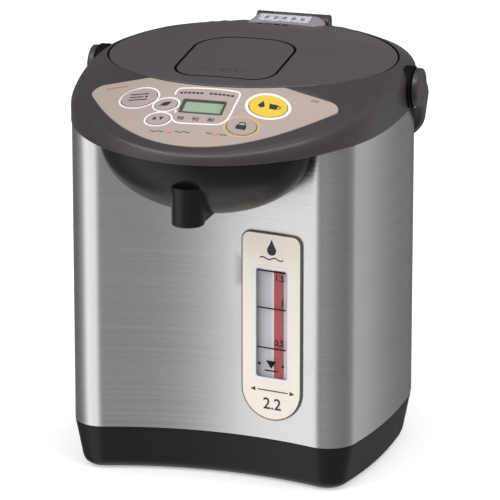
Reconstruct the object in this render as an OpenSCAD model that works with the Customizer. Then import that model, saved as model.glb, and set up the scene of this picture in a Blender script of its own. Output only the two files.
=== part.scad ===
// Electric thermo pot: a vacuum-walled kettle with a pump, a beak with a pour nozzle,
// a hinged lid with a latch lever, and a carry bail. Millimetres, +Z up.
// The origin is on the table, under the axis of the water vessel. The beak points to -Y.

/* [Case] */
// Width of the steel case across its flanks
case_w = 202; // [196:1:215]
// Straight length of each flank, forward of the vessel axis
case_flank = 12; // [6:1:20]
// Radius of the long side curve in front of the flank
side_r = 350; // [300:5:420]
// Angle that the side curve turns through
side_turn = 13.2; // [12:0.2:14]
// Radius of the front corners
corner_r = 19; // [15:1:23]
// Angle that each half of the hollow front face turns through
front_turn = 17.8; // [14:0.2:20]
// Sheet thickness of the case
case_t = 1; // [0.6:0.1:1.6]
// Height of the lower edge of the steel
base_h = 30; // [27:1:34]
// Height of the upper edge of the steel
case_top = 223; // [205:0.5:245]

/* [Base] */
// Gap between the table and the rim of the base
rim_gap = 1; // [0.6:0.1:2]
// Height of the underside of the base floor
floor_z = 5.5; // [5.2:0.1:7]
// Wall and floor thickness of the base
base_t = 2.5; // [2:0.1:3.2]
// How far the foot of the base stands inside the case outline
base_in = 8.5; // [6:0.5:10]
// Radius of the turntable
turn_r = 78; // [68:1:82]
// Thickness of the turntable plate
turn_t = 3; // [2.4:0.1:3.6]
// Height of the turntable's rubber feet
foot_h = 1.4; // [1:0.1:1.6]

/* [Collar] */
// Overhang of the collar outside the steel
overhang = 0.9; // [0.8:0.1:2]
// Distance of the beak's nose from the vessel axis
beak_reach = 158; // [152:1:166]
// Radius of the collar's side curve
collar_side_r = 274; // [240:2:320]
// Radius of the beak's cheeks
cheek_r = 108; // [106:0.5:109]
// Angle at which the side curve gives way to the cheek
collar_turn = 8.6; // [8:0.1:8.8]
// Half angle of the nose arc
nose_turn = 22.9; // [18:0.5:28]
// Drop of the lower rim from the steel's top to the nose
nose_drop = 2.4; // [1:0.2:5]
// Height of the collar above the steel, where the lid meets it
collar_h = 30.1; // [27:0.1:34]
// Fall of the conical top for each millimetre outward
top_slope = 0.43; // [0.38:0.01:0.48]
// Wall thickness of the collar
collar_t = 2.5; // [2:0.1:3]

/* [Chin] */
// Half width of the chin on the front face
chin_w = 66.5; // [60:0.5:76]
// Height of the chin below its rim
chin_h = 46; // [40:1:54]
// Depth of the chin forward of the front face
chin_d = 58.5; // [52:0.5:60]
// Wall thickness of the chin
chin_t = 2.2; // [1.6:0.1:3]

/* [Nozzle] */
// Distance of the nozzle from the vessel axis
nozzle_y = 144; // [138:0.5:146]
// Outer radius of the nozzle
nozzle_r = 10.2; // [8:0.1:11]
// Length of the nozzle
nozzle_l = 24.5; // [18:0.5:32]
// Outer radius of the water pipes
pipe_r = 4; // [3.4:0.1:4.4]
// Bore radius of the water pipes
pipe_bore = 2.8; // [2:0.1:3]

/* [Vessel] */
// Inner radius of the vessel
vessel_r = 78.5; // [74:0.5:79]
// Height of the vessel's floor
vessel_z = 62; // [60:1:66]
// Distance from the vessel's mouth down to its shoulder
shoulder_drop = 31; // [29:1:45]
// Radius of the vessel's mouth
mouth_r = 62; // [56:1:64]
// Height of the vessel's mouth above the steel
mouth_rise = 2; // [1:0.5:3]
// Wall thickness of the vessel and of its jacket
vessel_t = 0.8; // [0.6:0.1:1]
// Width of the vacuum gap
vacuum_gap = 4.4; // [3:0.2:5]

/* [Lid] */
// Half width of the lid
lid_rx = 92; // [88:0.5:93]
// Half length of the lid
lid_ry = 86; // [84:0.5:88]
// Height of the lid's crown above its edge
lid_rise = 9.4; // [7:0.1:13]
// Radius of the lid's dome
dome_r = 426; // [380:2:500]
// Gap round the lid, the lever and the panel
seam = 0.8; // [0.5:0.1:1.2]
// Wall thickness of the lid
lid_t = 2.5; // [2:0.1:3]
// Distance of the hinge axis behind the vessel axis
hinge_y = 88; // [87:0.5:89]
// Radius of the hinge barrels
barrel_r = 5; // [4.4:0.1:5.6]
// Radius of the hinge pin
pin_r = 2; // [1.6:0.1:2.4]
// Half width of the steam housing at its foot
vent_w = 26; // [25:0.5:28]
// Depth of the steam housing's top below the lid's crown
vent_drop = 2.3; // [1.5:0.1:2.8]

/* [Lever] */
// Half width of the latch lever
lever_w = 32; // [28:0.5:34]
// Front edge of the lever, forward of the vessel axis
lever_front = 78; // [75:0.5:79]
// Rear edge of the lever, forward of the vessel axis
lever_back = 3.5; // [0:0.5:6]
// Thickness of the lever plate
lever_t = 3; // [2.4:0.1:3.4]
// Distance of the lever's pin forward of the vessel axis
lever_pin_y = 52; // [48:0.5:56]

/* [Panel] */
// Distance of the panel's front edge from the vessel axis
panel_front = 149.3; // [147:0.2:150]
// Half width of the panel at its tips
panel_w = 79; // [77:0.5:80]
// Rear edge of the panel beside the lid, forward of the vessel axis
panel_back = 83; // [82:0.5:85]
// Thickness of the panel
panel_t = 1.6; // [1.2:0.1:2]
// Height of the keys above the panel
key_rise = 0.6; // [0.4:0.1:1]
// Travel of the keys
key_travel = 1; // [0.6:0.1:1.2]

/* [Gauge] */
// Distance of the gauge to the right of the middle
gauge_x = 40.4; // [39:0.2:43]
// Width of the gauge plate
gauge_w = 41.2; // [38:0.2:44]
// Height of the lower end of the gauge plate
gauge_low = 43; // [38:1:46]
// Distance from the steel's top down to the gauge plate
gauge_drop = 58; // [53:1:63]
// Width of the gauge window
window_w = 22.2; // [18:0.2:26]
// Height of the lower end of the window
window_low = 70.5; // [66:0.5:74]
// Distance from the gauge plate's top down to the window
window_drop = 23.4; // [19:0.1:29]
// Radius of the sight tube
sight_r = 5; // [4:0.1:5.4]

/* [Handle] */
// Height of the handle's pivots above the steel
pivot_rise = 14.5; // [14.5:0.5:16]
// Radius of the handle's hub discs
hub_r = 12.3; // [10:0.1:12.6]
// Thickness of the handle's arms
arm_t = 4.3; // [3.6:0.1:6]
// Width of the handle's band
band_w = 17; // [14:0.5:20]
// Length of the handle from pivot to the inside of the grip
handle_l = 128; // [118:1:150]
// Gap between the stowed handle and the collar's rear
handle_gap = 2.2; // [1:0.1:12]
// Thickness of the grip
grip_t = 8; // [6:0.5:10]
// Radius of the pivot pins
pivot_r = 4; // [3:0.1:5]

/* [Cord inlet] */
// Height of the middle of the cord inlet
inlet_z = 50; // [48:1:56]
// Width of the inlet's frame
inlet_w = 40; // [34:1:46]
// Height of the inlet's frame
inlet_h = 24; // [20:1:28]

/* [Hidden] */

charcoal = [0.3, 0.28, 0.3];
black = [0.16, 0.14, 0.15];
steel = [0.7, 0.7, 0.71];
rubber = [0.1, 0.1, 0.1];
clear = [0.8, 0.85, 0.88];
fit = 0.05;          // running clearance of a pin in its bore
slip = 0.3;          // clearance between loose neighbours
sag = 0.05;          // furthest that a straight step leaves its curve
far = 400;           // length of a cutting tool
round_fn = 96;       // facets of a preview circle

// Heights above the table. Each one follows the steel's upper edge.
nose_rim_z = case_top - nose_drop;
top_z = case_top + collar_h;
lid_z = top_z + lid_rise;
vent_z = lid_z - vent_drop;
pivot_z = case_top + pivot_rise;
mouth_z = case_top + mouth_rise;
vessel_top = mouth_z - shoulder_drop;
chin_top = case_top - 1;
nozzle_top = chin_top - 18;
nozzle_z = nozzle_top - nozzle_l;
gauge_high = case_top - gauge_drop;
window_high = gauge_high - window_drop;

// ---- outlines ----
// Points of an arc about c, moved outward by d, without its last one.
function arc(c, r, a0, a1, d = 0) =
    let (n = max(2, ceil(abs(a1 - a0) / (2 * acos(1 - sag / r)))))
    [for (i = [0:n - 1]) let (a = a0 + (a1 - a0) * i / n) c + (r + d) * [cos(a), sin(a)]];
// A right half from front to rear, joined to its mirror image.
function both(half) = concat(half,
    [for (i = [len(half) - 1:-1:0]) if (half[i][0] > 0.001) [-half[i][0], half[i][1]]]);
function oval(rx, ry, c) =
    let (n = 4 * ceil(90 / (2 * acos(1 - sag / max(rx, ry)))))
    [for (i = [0:n - 1]) c + [rx * cos(360 * i / n), ry * sin(360 * i / n)]];
// Points of a rectangle with round corners.
function pad(w, h, r, c = [0, 0]) =
    let (x = w / 2 - r, y = h / 2 - r)
    concat(arc(c + [x, y], r, 0, 90), [c + [x, y + r]],
           arc(c + [-x, y], r, 90, 180), [c + [-x - r, y]],
           arc(c + [-x, -y], r, 180, 270), [c + [-x, -y - r]],
           arc(c + [x, -y], r, 270, 360), [c + [x + r, -y]]);

case_r = case_w / 2;
side_c = [case_r - side_r, -case_flank];
corner_c = side_c + (side_r - corner_r) * [cos(side_turn), -sin(side_turn)];
corner_end = corner_c - corner_r * [sin(front_turn), cos(front_turn)];
front_r = corner_end[0] / sin(front_turn);
front_c = [0, corner_end[1] - front_r * cos(front_turn)];
function case_line(d) = both(concat(
    arc(front_c, front_r, 90, 90 - front_turn, -d),
    arc(corner_c, corner_r, -90 - front_turn, -side_turn, d),
    arc(side_c, side_r, -side_turn, 0, d),
    arc([0, 0], case_r, 0, 90, d),
    [[0, case_r + d]]));
// Distance of the hollow front face from the vessel axis, at x.
function face(x) = -front_c[1] - sqrt(front_r * front_r - x * x);

collar_w = case_r + overhang;
side0 = [collar_w - collar_side_r, 0];
cheek0 = side0 + (collar_side_r - cheek_r) * [cos(collar_turn), -sin(collar_turn)];
cheek_end = cheek0 + cheek_r * [sin(nose_turn), -cos(nose_turn)];
nose_r = cheek_end[0] / sin(nose_turn);
collar_flank = beak_reach + cheek_end[1] - nose_r * (1 - cos(nose_turn));
function collar_line(d) = both(concat(
    arc([0, nose_r - beak_reach], nose_r, -90, nose_turn - 90, d),
    arc(cheek0 - [0, collar_flank], cheek_r, nose_turn - 90, -collar_turn, d),
    arc(side0 - [0, collar_flank], collar_side_r, -collar_turn, 0, d),
    arc([0, 0], collar_w, 0, 90, d),
    [[0, collar_w + d]]));

lid_c = [0, -5];     // middle of the lid
cone_r = lid_rx - 1; // radius at which the conical top meets the lid
function lid_line(d) = oval(lid_rx + d, lid_ry + d, lid_c);
function cone_z(p) = top_z - top_slope * max(0, norm(p - lid_c) - cone_r);
function dome_z(p) = lid_z - dome_r + sqrt(dome_r * dome_r - pow(norm(p - lid_c), 2));

tip_r = 6;           // radius of the panel's tips
tip_x = panel_w - tip_r;
panel_gap = 1.5;     // collar left between the lid's seam and the panel
shelf_y = -panel_back - 0.5;
function panel_low(x) = let (u = pow(x / 60, 2)) 28.75 * u + 2.77 * u * u - panel_front;
function panel_line(d, x1 = tip_x + 2) =
    let (a = lid_rx + seam + panel_gap - d, b = lid_ry + seam + panel_gap - d,
         x2 = min(x1 - 4, a * sqrt(1 - pow((shelf_y + d - lid_c[1]) / b, 2))))
    both(concat(
        [for (i = [0:12]) [x1 * i / 12, panel_low(x1 * i / 12) - d]],
        x1 < tip_x ? [[x1, shelf_y + d]]
                   : concat(arc([tip_x, shelf_y - tip_r], tip_r + d, -30, 90),
                            [[tip_x, shelf_y + d]]),
        [for (i = [12:-1:0]) let (x = x2 * i / 12)
            [x, lid_c[1] - b * sqrt(1 - pow(x / a, 2))]]));

// ---- shared tools ----
module rod(p, r, h) translate(p) cylinder(r = r, h = h, $fn = round_fn);
module rod_x(p, r, h) translate(p) rotate([0, 90, 0]) cylinder(r = r, h = h, $fn = round_fn);
module slab(line, z0, z1) translate([0, 0, z0]) linear_extrude(z1 - z0) polygon(line);
module block(x0, x1, y0, y1, z0, z1) translate([x0, y0, z0]) cube([x1 - x0, y1 - y0, z1 - z0]);
// A side profile of [y, z] points, drawn across the middle.
module across(w, line)
    rotate([90, 0, 90]) linear_extrude(w, center = true) polygon(line);
// A front profile of [x, z] points, drawn from y0 back to y1.
module through(y0, y1, line)
    translate([0, y1, 0]) rotate([90, 0, 0]) linear_extrude(y1 - y0) polygon(line);
module tube(p, r, bore, h) difference() {
    rod(p, r, h);
    rod(p - [0, 0, 1], bore, h + 2);
}
// A quarter bend in the XZ plane: from +X at the centre's side, up to +Z.
module bend(p, r, bore, turn) translate(p) rotate(turn) difference() {
    rotate_extrude(angle = 90, $fn = round_fn) translate([bend_r, 0]) circle(r, $fn = round_fn);
    rotate_extrude(angle = 90, $fn = round_fn) translate([bend_r, 0]) circle(bore, $fn = round_fn);
}
bend_r = 7;          // centre-line radius of the pipe bends
cone_drop = 55;      // height of the conical tool
// Solid below the collar's conical top, raised by d.
module cone(d) translate([lid_c[0], lid_c[1], top_z + d - cone_drop])
    cylinder(r1 = cone_r + cone_drop / top_slope, r2 = cone_r, h = cone_drop, $fn = 180);
// Solid below the lid's dome, raised by d.
module dome(d) translate([lid_c[0], lid_c[1], lid_z - dome_r]) sphere(dome_r + d, $fn = 180);
// Places its children on the conical top at p, with their Z along the surface's normal.
module on_top(p) {
    a = atan2(p[1] - lid_c[1], p[0] - lid_c[0]);
    translate([p[0], p[1], cone_z(p)]) rotate([0, 0, a]) rotate([0, atan(top_slope), 0])
        rotate([0, 0, -a]) children();
}
// Band along the hollow front, from a to b outside the steel's face.
module front_band(a, b) translate([front_c[0], front_c[1], 0]) difference() {
    cylinder(r = front_r - a, h = far, $fn = 360);
    translate([0, 0, -1]) cylinder(r = front_r - b, h = far + 2, $fn = 360);
}

// ---- base and case ----
lip_h = 3;           // height of the base's locating lip
lip_t = 2;           // thickness of that lip
post_r = 4;          // radius of the vessel's posts
post_at = 52;        // distance of the posts from both middle planes
shield_z = 46;       // height of the heat shield
shield_t = 0.8;      // thickness of the heat shield
jacket_in = vessel_r + vessel_t + vacuum_gap;
jacket_out = jacket_in + vessel_t;
jacket_z = vessel_z - vessel_t - 5.2;
pipe_y = -(jacket_out + face(0) - case_t) / 2;
floor_top = floor_z + base_t;
hub_pin_r = 8;       // radius of the turntable's spigot

gauge_hole = 2.3;    // how far the hole in the steel goes past the gauge window
module window_hole(d) through(-far / 2, pipe_y, pad(window_w + 2 * d,
    window_high - window_low + 2 * d, 3 + d, [gauge_x, (window_low + window_high) / 2]));

slot_w = 32;         // width of the pipe slot in the steel
slot_z = nozzle_top;  // lower end of that slot
module outer_case() color(steel) difference() {
    slab(case_line(0), base_h, case_top);
    slab(case_line(-case_t), base_h - 1, case_top + 1);
    window_hole(gauge_hole);
    block(-slot_w / 2, slot_w / 2, -far / 2, pipe_y, slot_z, case_top + 1);
    through(0, far / 2, pad(inlet_w + slip, inlet_h + slip, 4, [0, inlet_z]));
}

base_wall = 4.5;     // wall of the base behind the steel's lower edge
pan_in = base_in + 3; // inset of the base pan from the case outline
step_z = 12;         // height at which the base's wall thins
// Section of the base's skirt as [height, inset]: up the outside, over the lip, down the inside.
base_side = [[rim_gap, base_in], [2.5, base_in * 0.76], [5, base_in * 0.59],
    [10, base_in * 0.47], [18, base_in * 0.28], [25, base_in * 0.12], [base_h, 0],
    [base_h, case_t + slip], [base_h + lip_h, case_t + slip],
    [base_h + lip_h, case_t + slip + lip_t], [base_h - 3, base_wall],
    [step_z, pan_in], [rim_gap, pan_in]];
module base_shell() color(black) {
    n = len(case_line(0));
    m = len(base_side);
    polyhedron(
        [for (s = base_side) for (p = case_line(-s[1])) [p[0], p[1], s[0]]],
        [for (k = [0:m - 1]) for (i = [0:n - 1])
            let (k2 = (k + 1) % m, i2 = (i + 1) % n)
            each [[k * n + i, k2 * n + i, k2 * n + i2], [k * n + i, k2 * n + i2, k * n + i2]]]);
}

board_post = [34, 26, 64];
board_z = 14;        // height of the power board
screw_r = 1.5;
screw_head = 3;
screw_l = 12;
module corners(x, y0, y1) for (sx = [-1, 1], y = [y0, y1]) translate([sx * x, y, 0]) children();
module base_pan() color(black) difference() {
    union() {
        slab(case_line(-pan_in), floor_z, floor_top);
        corners(post_at, -post_at, post_at) {
            rod([0, 0, floor_z + 1], post_r + 2, shield_z - floor_z - 1);
            rod([0, 0, floor_z + 1], post_r, jacket_z - floor_z - 1);
        }
        corners(board_post[0], board_post[1], board_post[2])
            rod([0, 0, floor_z + 1], 3, board_z - floor_z - 1);
    }
    rod([0, 0, 0], hub_pin_r + fit, floor_top + 1);
    corners(post_at, -post_at, post_at) {
        rod([0, 0, 0], screw_head, floor_z + 1.4);
        rod([0, 0, 0], screw_r, floor_top + screw_l);
    }
}

module base_screws() color(steel) corners(post_at, -post_at, post_at) {
    rod([0, 0, floor_z + 0.2], screw_head, 1.2);
    rod([0, 0, floor_z + 1], screw_r, screw_l);
}

plate_z = foot_h;
spigot_top = floor_top;
module turntable() color(black) difference() {
    union() {
        rod([0, 0, plate_z], turn_r, turn_t);
        rod([0, 0, plate_z], hub_pin_r, spigot_top - plate_z);
        difference() {
            rod([0, 0, plate_z], turn_r - 8, floor_z - fit - plate_z);
            rod([0, 0, plate_z - 1], turn_r - 14, floor_z);
        }
    }
    rod([0, 0, plate_z + turn_t - 1], 3, 20);
}

module feet() color(rubber) {
    tube([0, 0, 0], turn_r - 2, turn_r - 12, foot_h);
    rod([0, 0, 0], 14, foot_h);
}

// ---- vessel ----
neck_z = mouth_z - 16; // height at which the shoulder becomes the neck
flange_r = 70;       // radius of the vessel's flange
pump_y = -63;        // place of the pump and of the vessel's outlet
heater_r = 52;
module inner_vessel() color(steel)
    tube([0, 0, vessel_z - vessel_t], vessel_r + vessel_t, vessel_r, vessel_top - vessel_z + vessel_t);

module vessel_neck() color(steel) rotate_extrude($fn = round_fn) polygon([
    [vessel_r, vessel_top], [vessel_r + vessel_t, vessel_top],
    [vessel_r + vessel_t, vessel_top + vessel_t], [mouth_r + vessel_t, neck_z + vessel_t],
    [mouth_r + vessel_t, mouth_z - vessel_t], [flange_r, mouth_z - vessel_t],
    [flange_r, mouth_z], [mouth_r, mouth_z], [mouth_r, neck_z]]);

module vessel_floor() color(steel) difference() {
    rod([0, 0, vessel_z - vessel_t], vessel_r, vessel_t);
    rod([0, pump_y, vessel_z - 5], pipe_bore, 10);
}

jacket_lip = pump_y * -1 + pipe_r + 2;
module vacuum_jacket() color(steel) rotate_extrude($fn = round_fn) polygon([
    [jacket_lip, jacket_z], [jacket_out, jacket_z],
    [jacket_out, vessel_top + 3], [mouth_r + vessel_t + 0.8, neck_z + 6],
    [mouth_r + vessel_t, neck_z + 6], [mouth_r + vessel_t, neck_z + 5],
    [jacket_in, vessel_top + 2], [jacket_in, jacket_z + vessel_t],
    [jacket_lip + vessel_t, jacket_z + vessel_t], [jacket_lip + vessel_t, vessel_z - vessel_t],
    [jacket_lip, vessel_z - vessel_t]]);

well_z = mouth_z + 3; // underside of the mouth well's floor
well_t = 2;
hole_r = mouth_r + 2;
module mouth_seal() color(rubber) tube([0, 0, mouth_z], flange_r - 1, mouth_r + 1, well_z - mouth_z);

heater_t = 4;
module heater_plate() color(steel)
    tube([0, 0, vessel_z - vessel_t - heater_t], heater_r, 3 + slip, heater_t);

module thermistor() color(black)
    rod([0, 0, shield_z + shield_t], 3, vessel_z - vessel_t - shield_z - shield_t);

module heat_shield() color(steel) difference() {
    rod([0, 0, shield_z], vessel_r, shield_t);
    corners(post_at, -post_at, post_at) rod([0, 0, shield_z - 1], post_r, 4);
    rod([0, pump_y, shield_z - 1], pipe_r + 1, 4);
}

// ---- collar and mouth ----
shell_t = collar_t * sqrt(1 + top_slope * top_slope);
lip_z = top_z - 5.1; // lower end of the collar's lip round the lid
lip_w = 2;
arm_in = collar_w + 3;
arm_out = arm_in + arm_t;
boss_in = collar_w - collar_t - 1.2;
boss_r = hub_r + 1.2;
rim_y = corner_r - corner_c[1] + 0.4;
seat_z = top_z - 13.1; // floor of the hinge pocket
seat_x = 24.6;       // half width of the hinge pocket
seat_back = hinge_y + 6.6;
seat_wall = 2.4;     // wall round the hinge pocket
seat_y = lid_c[1] + 50;
panel_sink = 1.2;    // depth of the panel's recess
panel_up = panel_t - panel_sink;
ledge = 3.5;         // width of the shelf that the panel lies on
window_x = 59;       // half width of the opening under the panel
// The collar's lower rim from nose to flank as [y, z], raised by d.
function rim_line(d) = [[-far, nose_rim_z - 1 + d], [-beak_reach, nose_rim_z + d],
    [-rim_y, case_top + d], [far, case_top + d]];
module collar_side(d, z0) intersection() {
    slab(collar_line(d), z0, top_z + 5);
    cone(d == 0 ? 0 : -shell_t);
}
module collar() color(charcoal) difference() {
    union() {
        difference() {
            collar_side(0, nose_rim_z - 2);
            collar_side(-collar_t, nose_rim_z - 3);
        }
        intersection() {
            slab(lid_line(seam + lip_w), lip_z, top_z + 5);
            cone(0);
        }
        for (s = [0, 1]) mirror([s, 0, 0])
            rod_x([boss_in, 0, pivot_z], boss_r, arm_in - 0.5 - boss_in);
        difference() {
            intersection() {
                block(-seat_x - seat_wall, seat_x + seat_wall, seat_y, collar_w, seat_z - 2, top_z);
                collar_side(0, seat_z - 2);
            }
            slab(lid_line(seam + lip_w + 0.2), 0, lip_z);
        }
    }
    slab(lid_line(seam), lip_z - 20, top_z + 10);
    across(far, concat(rim_line(0), [[far, 0], [-far, 0]]));
    block(-seat_x, seat_x, hinge_y - 8, seat_back, seat_z, top_z + 10);
    for (s = [0, 1]) mirror([s, 0, 0]) rod_x([boss_in - 1, 0, pivot_z], pivot_r, 20);
    difference() {
        slab(panel_line(0.15), nose_rim_z, top_z + 10);
        cone(-panel_sink);
    }
    slab(panel_line(-ledge, window_x), nose_rim_z + 2, top_z + 10);
}

lid_low = top_z - 7.1; // lower edge of the lid's skirt
bolt_x = 6;          // half width of the latch bolt
bolt_z = lid_low + 0.2;
bolt_t = 1.6;
module mouth_well() color(charcoal) difference() {
    slab(lid_line(seam + lip_w), well_z, lip_z);
    slab(lid_line(seam), well_z + well_t, lip_z + 1);
    rod([0, 0, well_z - 1], hole_r, well_t + 2);
    block(-bolt_x - 0.6, bolt_x + 0.6, -far / 2, 0, bolt_z - 0.4, lip_z + 1);
}

hinge_z = top_z - 0.1;
ear_x = 14.4;        // inner side of the hinge bracket's ears
bracket_t = 6;       // thickness of the bracket's foot
module hinge_bracket() color(charcoal) difference() {
    union() {
        block(-seat_x + 0.2, seat_x - 0.2, hinge_y - 3.6, seat_back - 0.2, seat_z, seat_z + bracket_t);
        for (s = [0, 1]) mirror([s, 0, 0]) {
            rod_x([ear_x, hinge_y, hinge_z], barrel_r, seat_x - 0.2 - ear_x);
            block(ear_x, seat_x - 0.2, hinge_y - 3.6, hinge_y + barrel_r, seat_z, hinge_z);
        }
    }
    rod_x([-seat_x - 1, hinge_y, hinge_z], pin_r, 2 * seat_x + 2);
}

module hinge_pin() color(steel) rod_x([-seat_x + 0.4, hinge_y, hinge_z], pin_r, 2 * seat_x - 0.8);

module pivot_pins() color(steel) for (s = [0, 1]) mirror([s, 0, 0]) {
    rod_x([boss_in, 0, pivot_z], pivot_r, arm_out - 1.2 - boss_in);
    rod_x([boss_in - 1.6, 0, pivot_z], pivot_r + 1.5, 1.6);
}

// ---- beak ----
chin_s = 10;         // steps from the chin's middle to its edge
chin_a = 24;         // steps round the chin
chin_off = 0.08;     // gap between the chin's edge and the steel
function chin_at(i, j, t) =
    let (s = sin(90 * i / chin_s), a = 180 * j / chin_a, x = (chin_w - t) * s * cos(a))
    [x, -face(x) - chin_off - (chin_d - t) * cos(90 * i / chin_s),
     chin_top - (chin_h - t) * s * sin(a)];
module chin_body() {
    n = chin_a + 1;
    m = chin_s * n + 1;
    // Index of a point on the outer (k = 0) or the inner (k = 1) surface.
    function at(i, j, k) = k * m + (i == 0 ? 0 : 1 + (i - 1) * n + j);
    function quad(a, b, c, d) = [[a, b, c], [a, c, d]];
    polyhedron(
        [for (k = [0, 1]) each concat([chin_at(0, 0, k * chin_t)],
            [for (i = [1:chin_s]) for (j = [0:chin_a]) chin_at(i, j, k * chin_t)])],
        concat(
            [for (j = [0:chin_a - 1]) [at(0, 0, 0), at(1, j, 0), at(1, j + 1, 0)]],
            [for (j = [0:chin_a - 1]) [at(0, 0, 1), at(1, j + 1, 1), at(1, j, 1)]],
            [for (i = [1:chin_s - 1]) for (j = [0:chin_a - 1])
                each quad(at(i, j, 0), at(i + 1, j, 0), at(i + 1, j + 1, 0), at(i, j + 1, 0))],
            [for (i = [1:chin_s - 1]) for (j = [0:chin_a - 1])
                each quad(at(i, j, 1), at(i, j + 1, 1), at(i + 1, j + 1, 1), at(i + 1, j, 1))],
            [for (j = [0:chin_a - 1]) each quad(at(chin_s, j, 0), at(chin_s, j, 1),
                at(chin_s, j + 1, 1), at(chin_s, j + 1, 0))],
            [for (i = [0:chin_s - 1]) each quad(at(i, 0, 0), at(i, 0, 1),
                at(i + 1, 0, 1), at(i + 1, 0, 0))],
            [for (i = [0:chin_s - 1]) each quad(at(i, chin_a, 0), at(i + 1, chin_a, 0),
                at(i + 1, chin_a, 1), at(i, chin_a, 1))]));
}
web_w = 9;           // half width of the web behind the nozzle
web_back = 116;      // rear end of that web
web_h = 12;          // height of that web
nozzle_bore = 6;
pipe_z = nozzle_top + bend_r + 1;
join = 0.1;          // gap between the chin and what passes through or lies against it
module barrel(d)
    rod([0, -nozzle_y, nozzle_z - d], nozzle_r + d, nozzle_top - nozzle_z + 2 * d);
module web(d)
    block(-web_w - d, web_w + d, -nozzle_y, -web_back + d, nozzle_z - d, nozzle_z + web_h);
module chin() color(charcoal) difference() {
    chin_body();
    barrel(join);
    web(join);
    rod([0, -nozzle_y, nozzle_z], pipe_r + slip, pipe_z + pipe_r - nozzle_z);
    difference() {
        across(far, concat(rim_line(-join), [[far, far], [-far, far]]));
        slab(collar_line(-collar_t - join), 0, far);
    }
}

module nozzle() color(charcoal) difference() {
    barrel(0);
    rod([0, -nozzle_y, nozzle_z - 1], nozzle_bore, nozzle_top - nozzle_z - 9);
    rod([0, -nozzle_y, nozzle_z], pipe_r, nozzle_top);
}

module nozzle_web() color(charcoal) difference() {
    web(0);
    barrel(0);
}

module outlet_pipe() color(clear) {
    tube([0, pipe_y, slot_z - 2], pipe_r, pipe_bore, pipe_z - bend_r - slot_z + 2);
    bend([0, pipe_y - bend_r, pipe_z - bend_r], pipe_r, pipe_bore, [90, 0, 90]);
    translate([0, pipe_y - bend_r, pipe_z]) rotate([90, 0, 0])
        tube([0, 0, 0], pipe_r, pipe_bore, nozzle_y + pipe_y - 2 * bend_r);
    bend([0, -nozzle_y + bend_r, pipe_z - bend_r], pipe_r, pipe_bore, [90, -90, 90]);
    tube([0, -nozzle_y, nozzle_top - 8], pipe_r, pipe_bore, pipe_z - bend_r - nozzle_top + 8);
}

pump_out = 32;       // height of the pump's side outlet
module delivery_hose() color(clear) {
    tube([0, pipe_y, pump_out + bend_r], pipe_r, pipe_bore, slot_z - 2 - pump_out - bend_r);
    bend([0, pipe_y + bend_r, pump_out + bend_r], pipe_r, pipe_bore, [90, 180, 90]);
}

// ---- control panel ----
panel_mid = [0, -113.5];
lcd_w = 28;
lcd_h = 14;
course_at = [-43.3, -104.9];
save_at = [-23.5, -112.9];
temperature_at = [-24.4, -126.4];
dispense_at = [39.1, -104.8];
unlock_at = [28.8, -126.9];
course_size = [11.7, 9.5];
save_size = [7.2, 5.8];
temperature_size = [7.4, 5.7];
dispense_size = [11.8, 10.5];
unlock_size = [9.2, 8.2];
lamp_at = [[-13.5, -137.5], [14.9, -136.4]];
lamp_r = 1.4;
module key_hole(p, size) on_top(p) slab(oval(size[0] + slip, size[1] + slip, [0, 0]), -9, 9);
module control_panel() color([0.75, 0.7, 0.68]) difference() {
    intersection() {
        slab(panel_line(0), nose_rim_z, top_z + 10);
        cone(panel_up);
    }
    cone(-panel_sink);
    key_hole(course_at, course_size);
    key_hole(save_at, save_size);
    key_hole(temperature_at, temperature_size);
    key_hole(dispense_at, dispense_size);
    key_hole(unlock_at, unlock_size);
    for (p = lamp_at) on_top(p) rod([0, 0, -9], lamp_r, 18);
    on_top(panel_mid) slab(pad(lcd_w, lcd_h, 1.5), -9, 9);
}

window_low_z = -1.2;
module display_window() color(clear)
    on_top(panel_mid) slab(pad(lcd_w, lcd_h, 1.5), window_low_z, 0.3);

key_foot = 3.2;      // depth of the keys' flanges below the panel's top
key_clear = 1.2;     // room between the pressed keys' flanges and the display module
module_top = -key_foot - key_travel - key_clear;
board_top = -10.4;
module display_module() color(black) on_top(panel_mid) {
    slab(pad(lcd_w + 4, lcd_h + 4, 1), board_top, module_top);
    slab(pad(lcd_w - 2, lcd_h - 2, 1), module_top, window_low_z);
}

board_size = [100, 28];
board_t = 1.6;       // thickness of the circuit boards
module control_board() color([0.1, 0.35, 0.2])
    on_top(panel_mid) slab(pad(board_size[0], board_size[1], 2), board_top - board_t, board_top);

module indicator_lamps() color([0.9, 0.4, 0.2])
    for (p = lamp_at) on_top(p) rod([0, 0, -5], lamp_r, 5.8);

key_top = panel_up + key_rise;
module key(p, size) on_top(p) {
    slab(oval(size[0], size[1], [0, 0]), 0.8 - key_foot, key_top);
    slab(oval(size[0] + 1, size[1] + 1, [0, 0]), -key_foot, 0.8 - key_foot);
    rod([0, 0, -key_foot - 1.4], 2, 1.4);
}
module course_key() color([0.8, 0.76, 0.74]) key(course_at, course_size);
module save_key() color([0.8, 0.76, 0.74]) key(save_at, save_size);
module temperature_key() color([0.8, 0.76, 0.74]) key(temperature_at, temperature_size);
module dispense_key() color([0.95, 0.85, 0.2]) key(dispense_at, dispense_size);
module unlock_key() color([0.8, 0.76, 0.74]) key(unlock_at, unlock_size);

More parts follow.
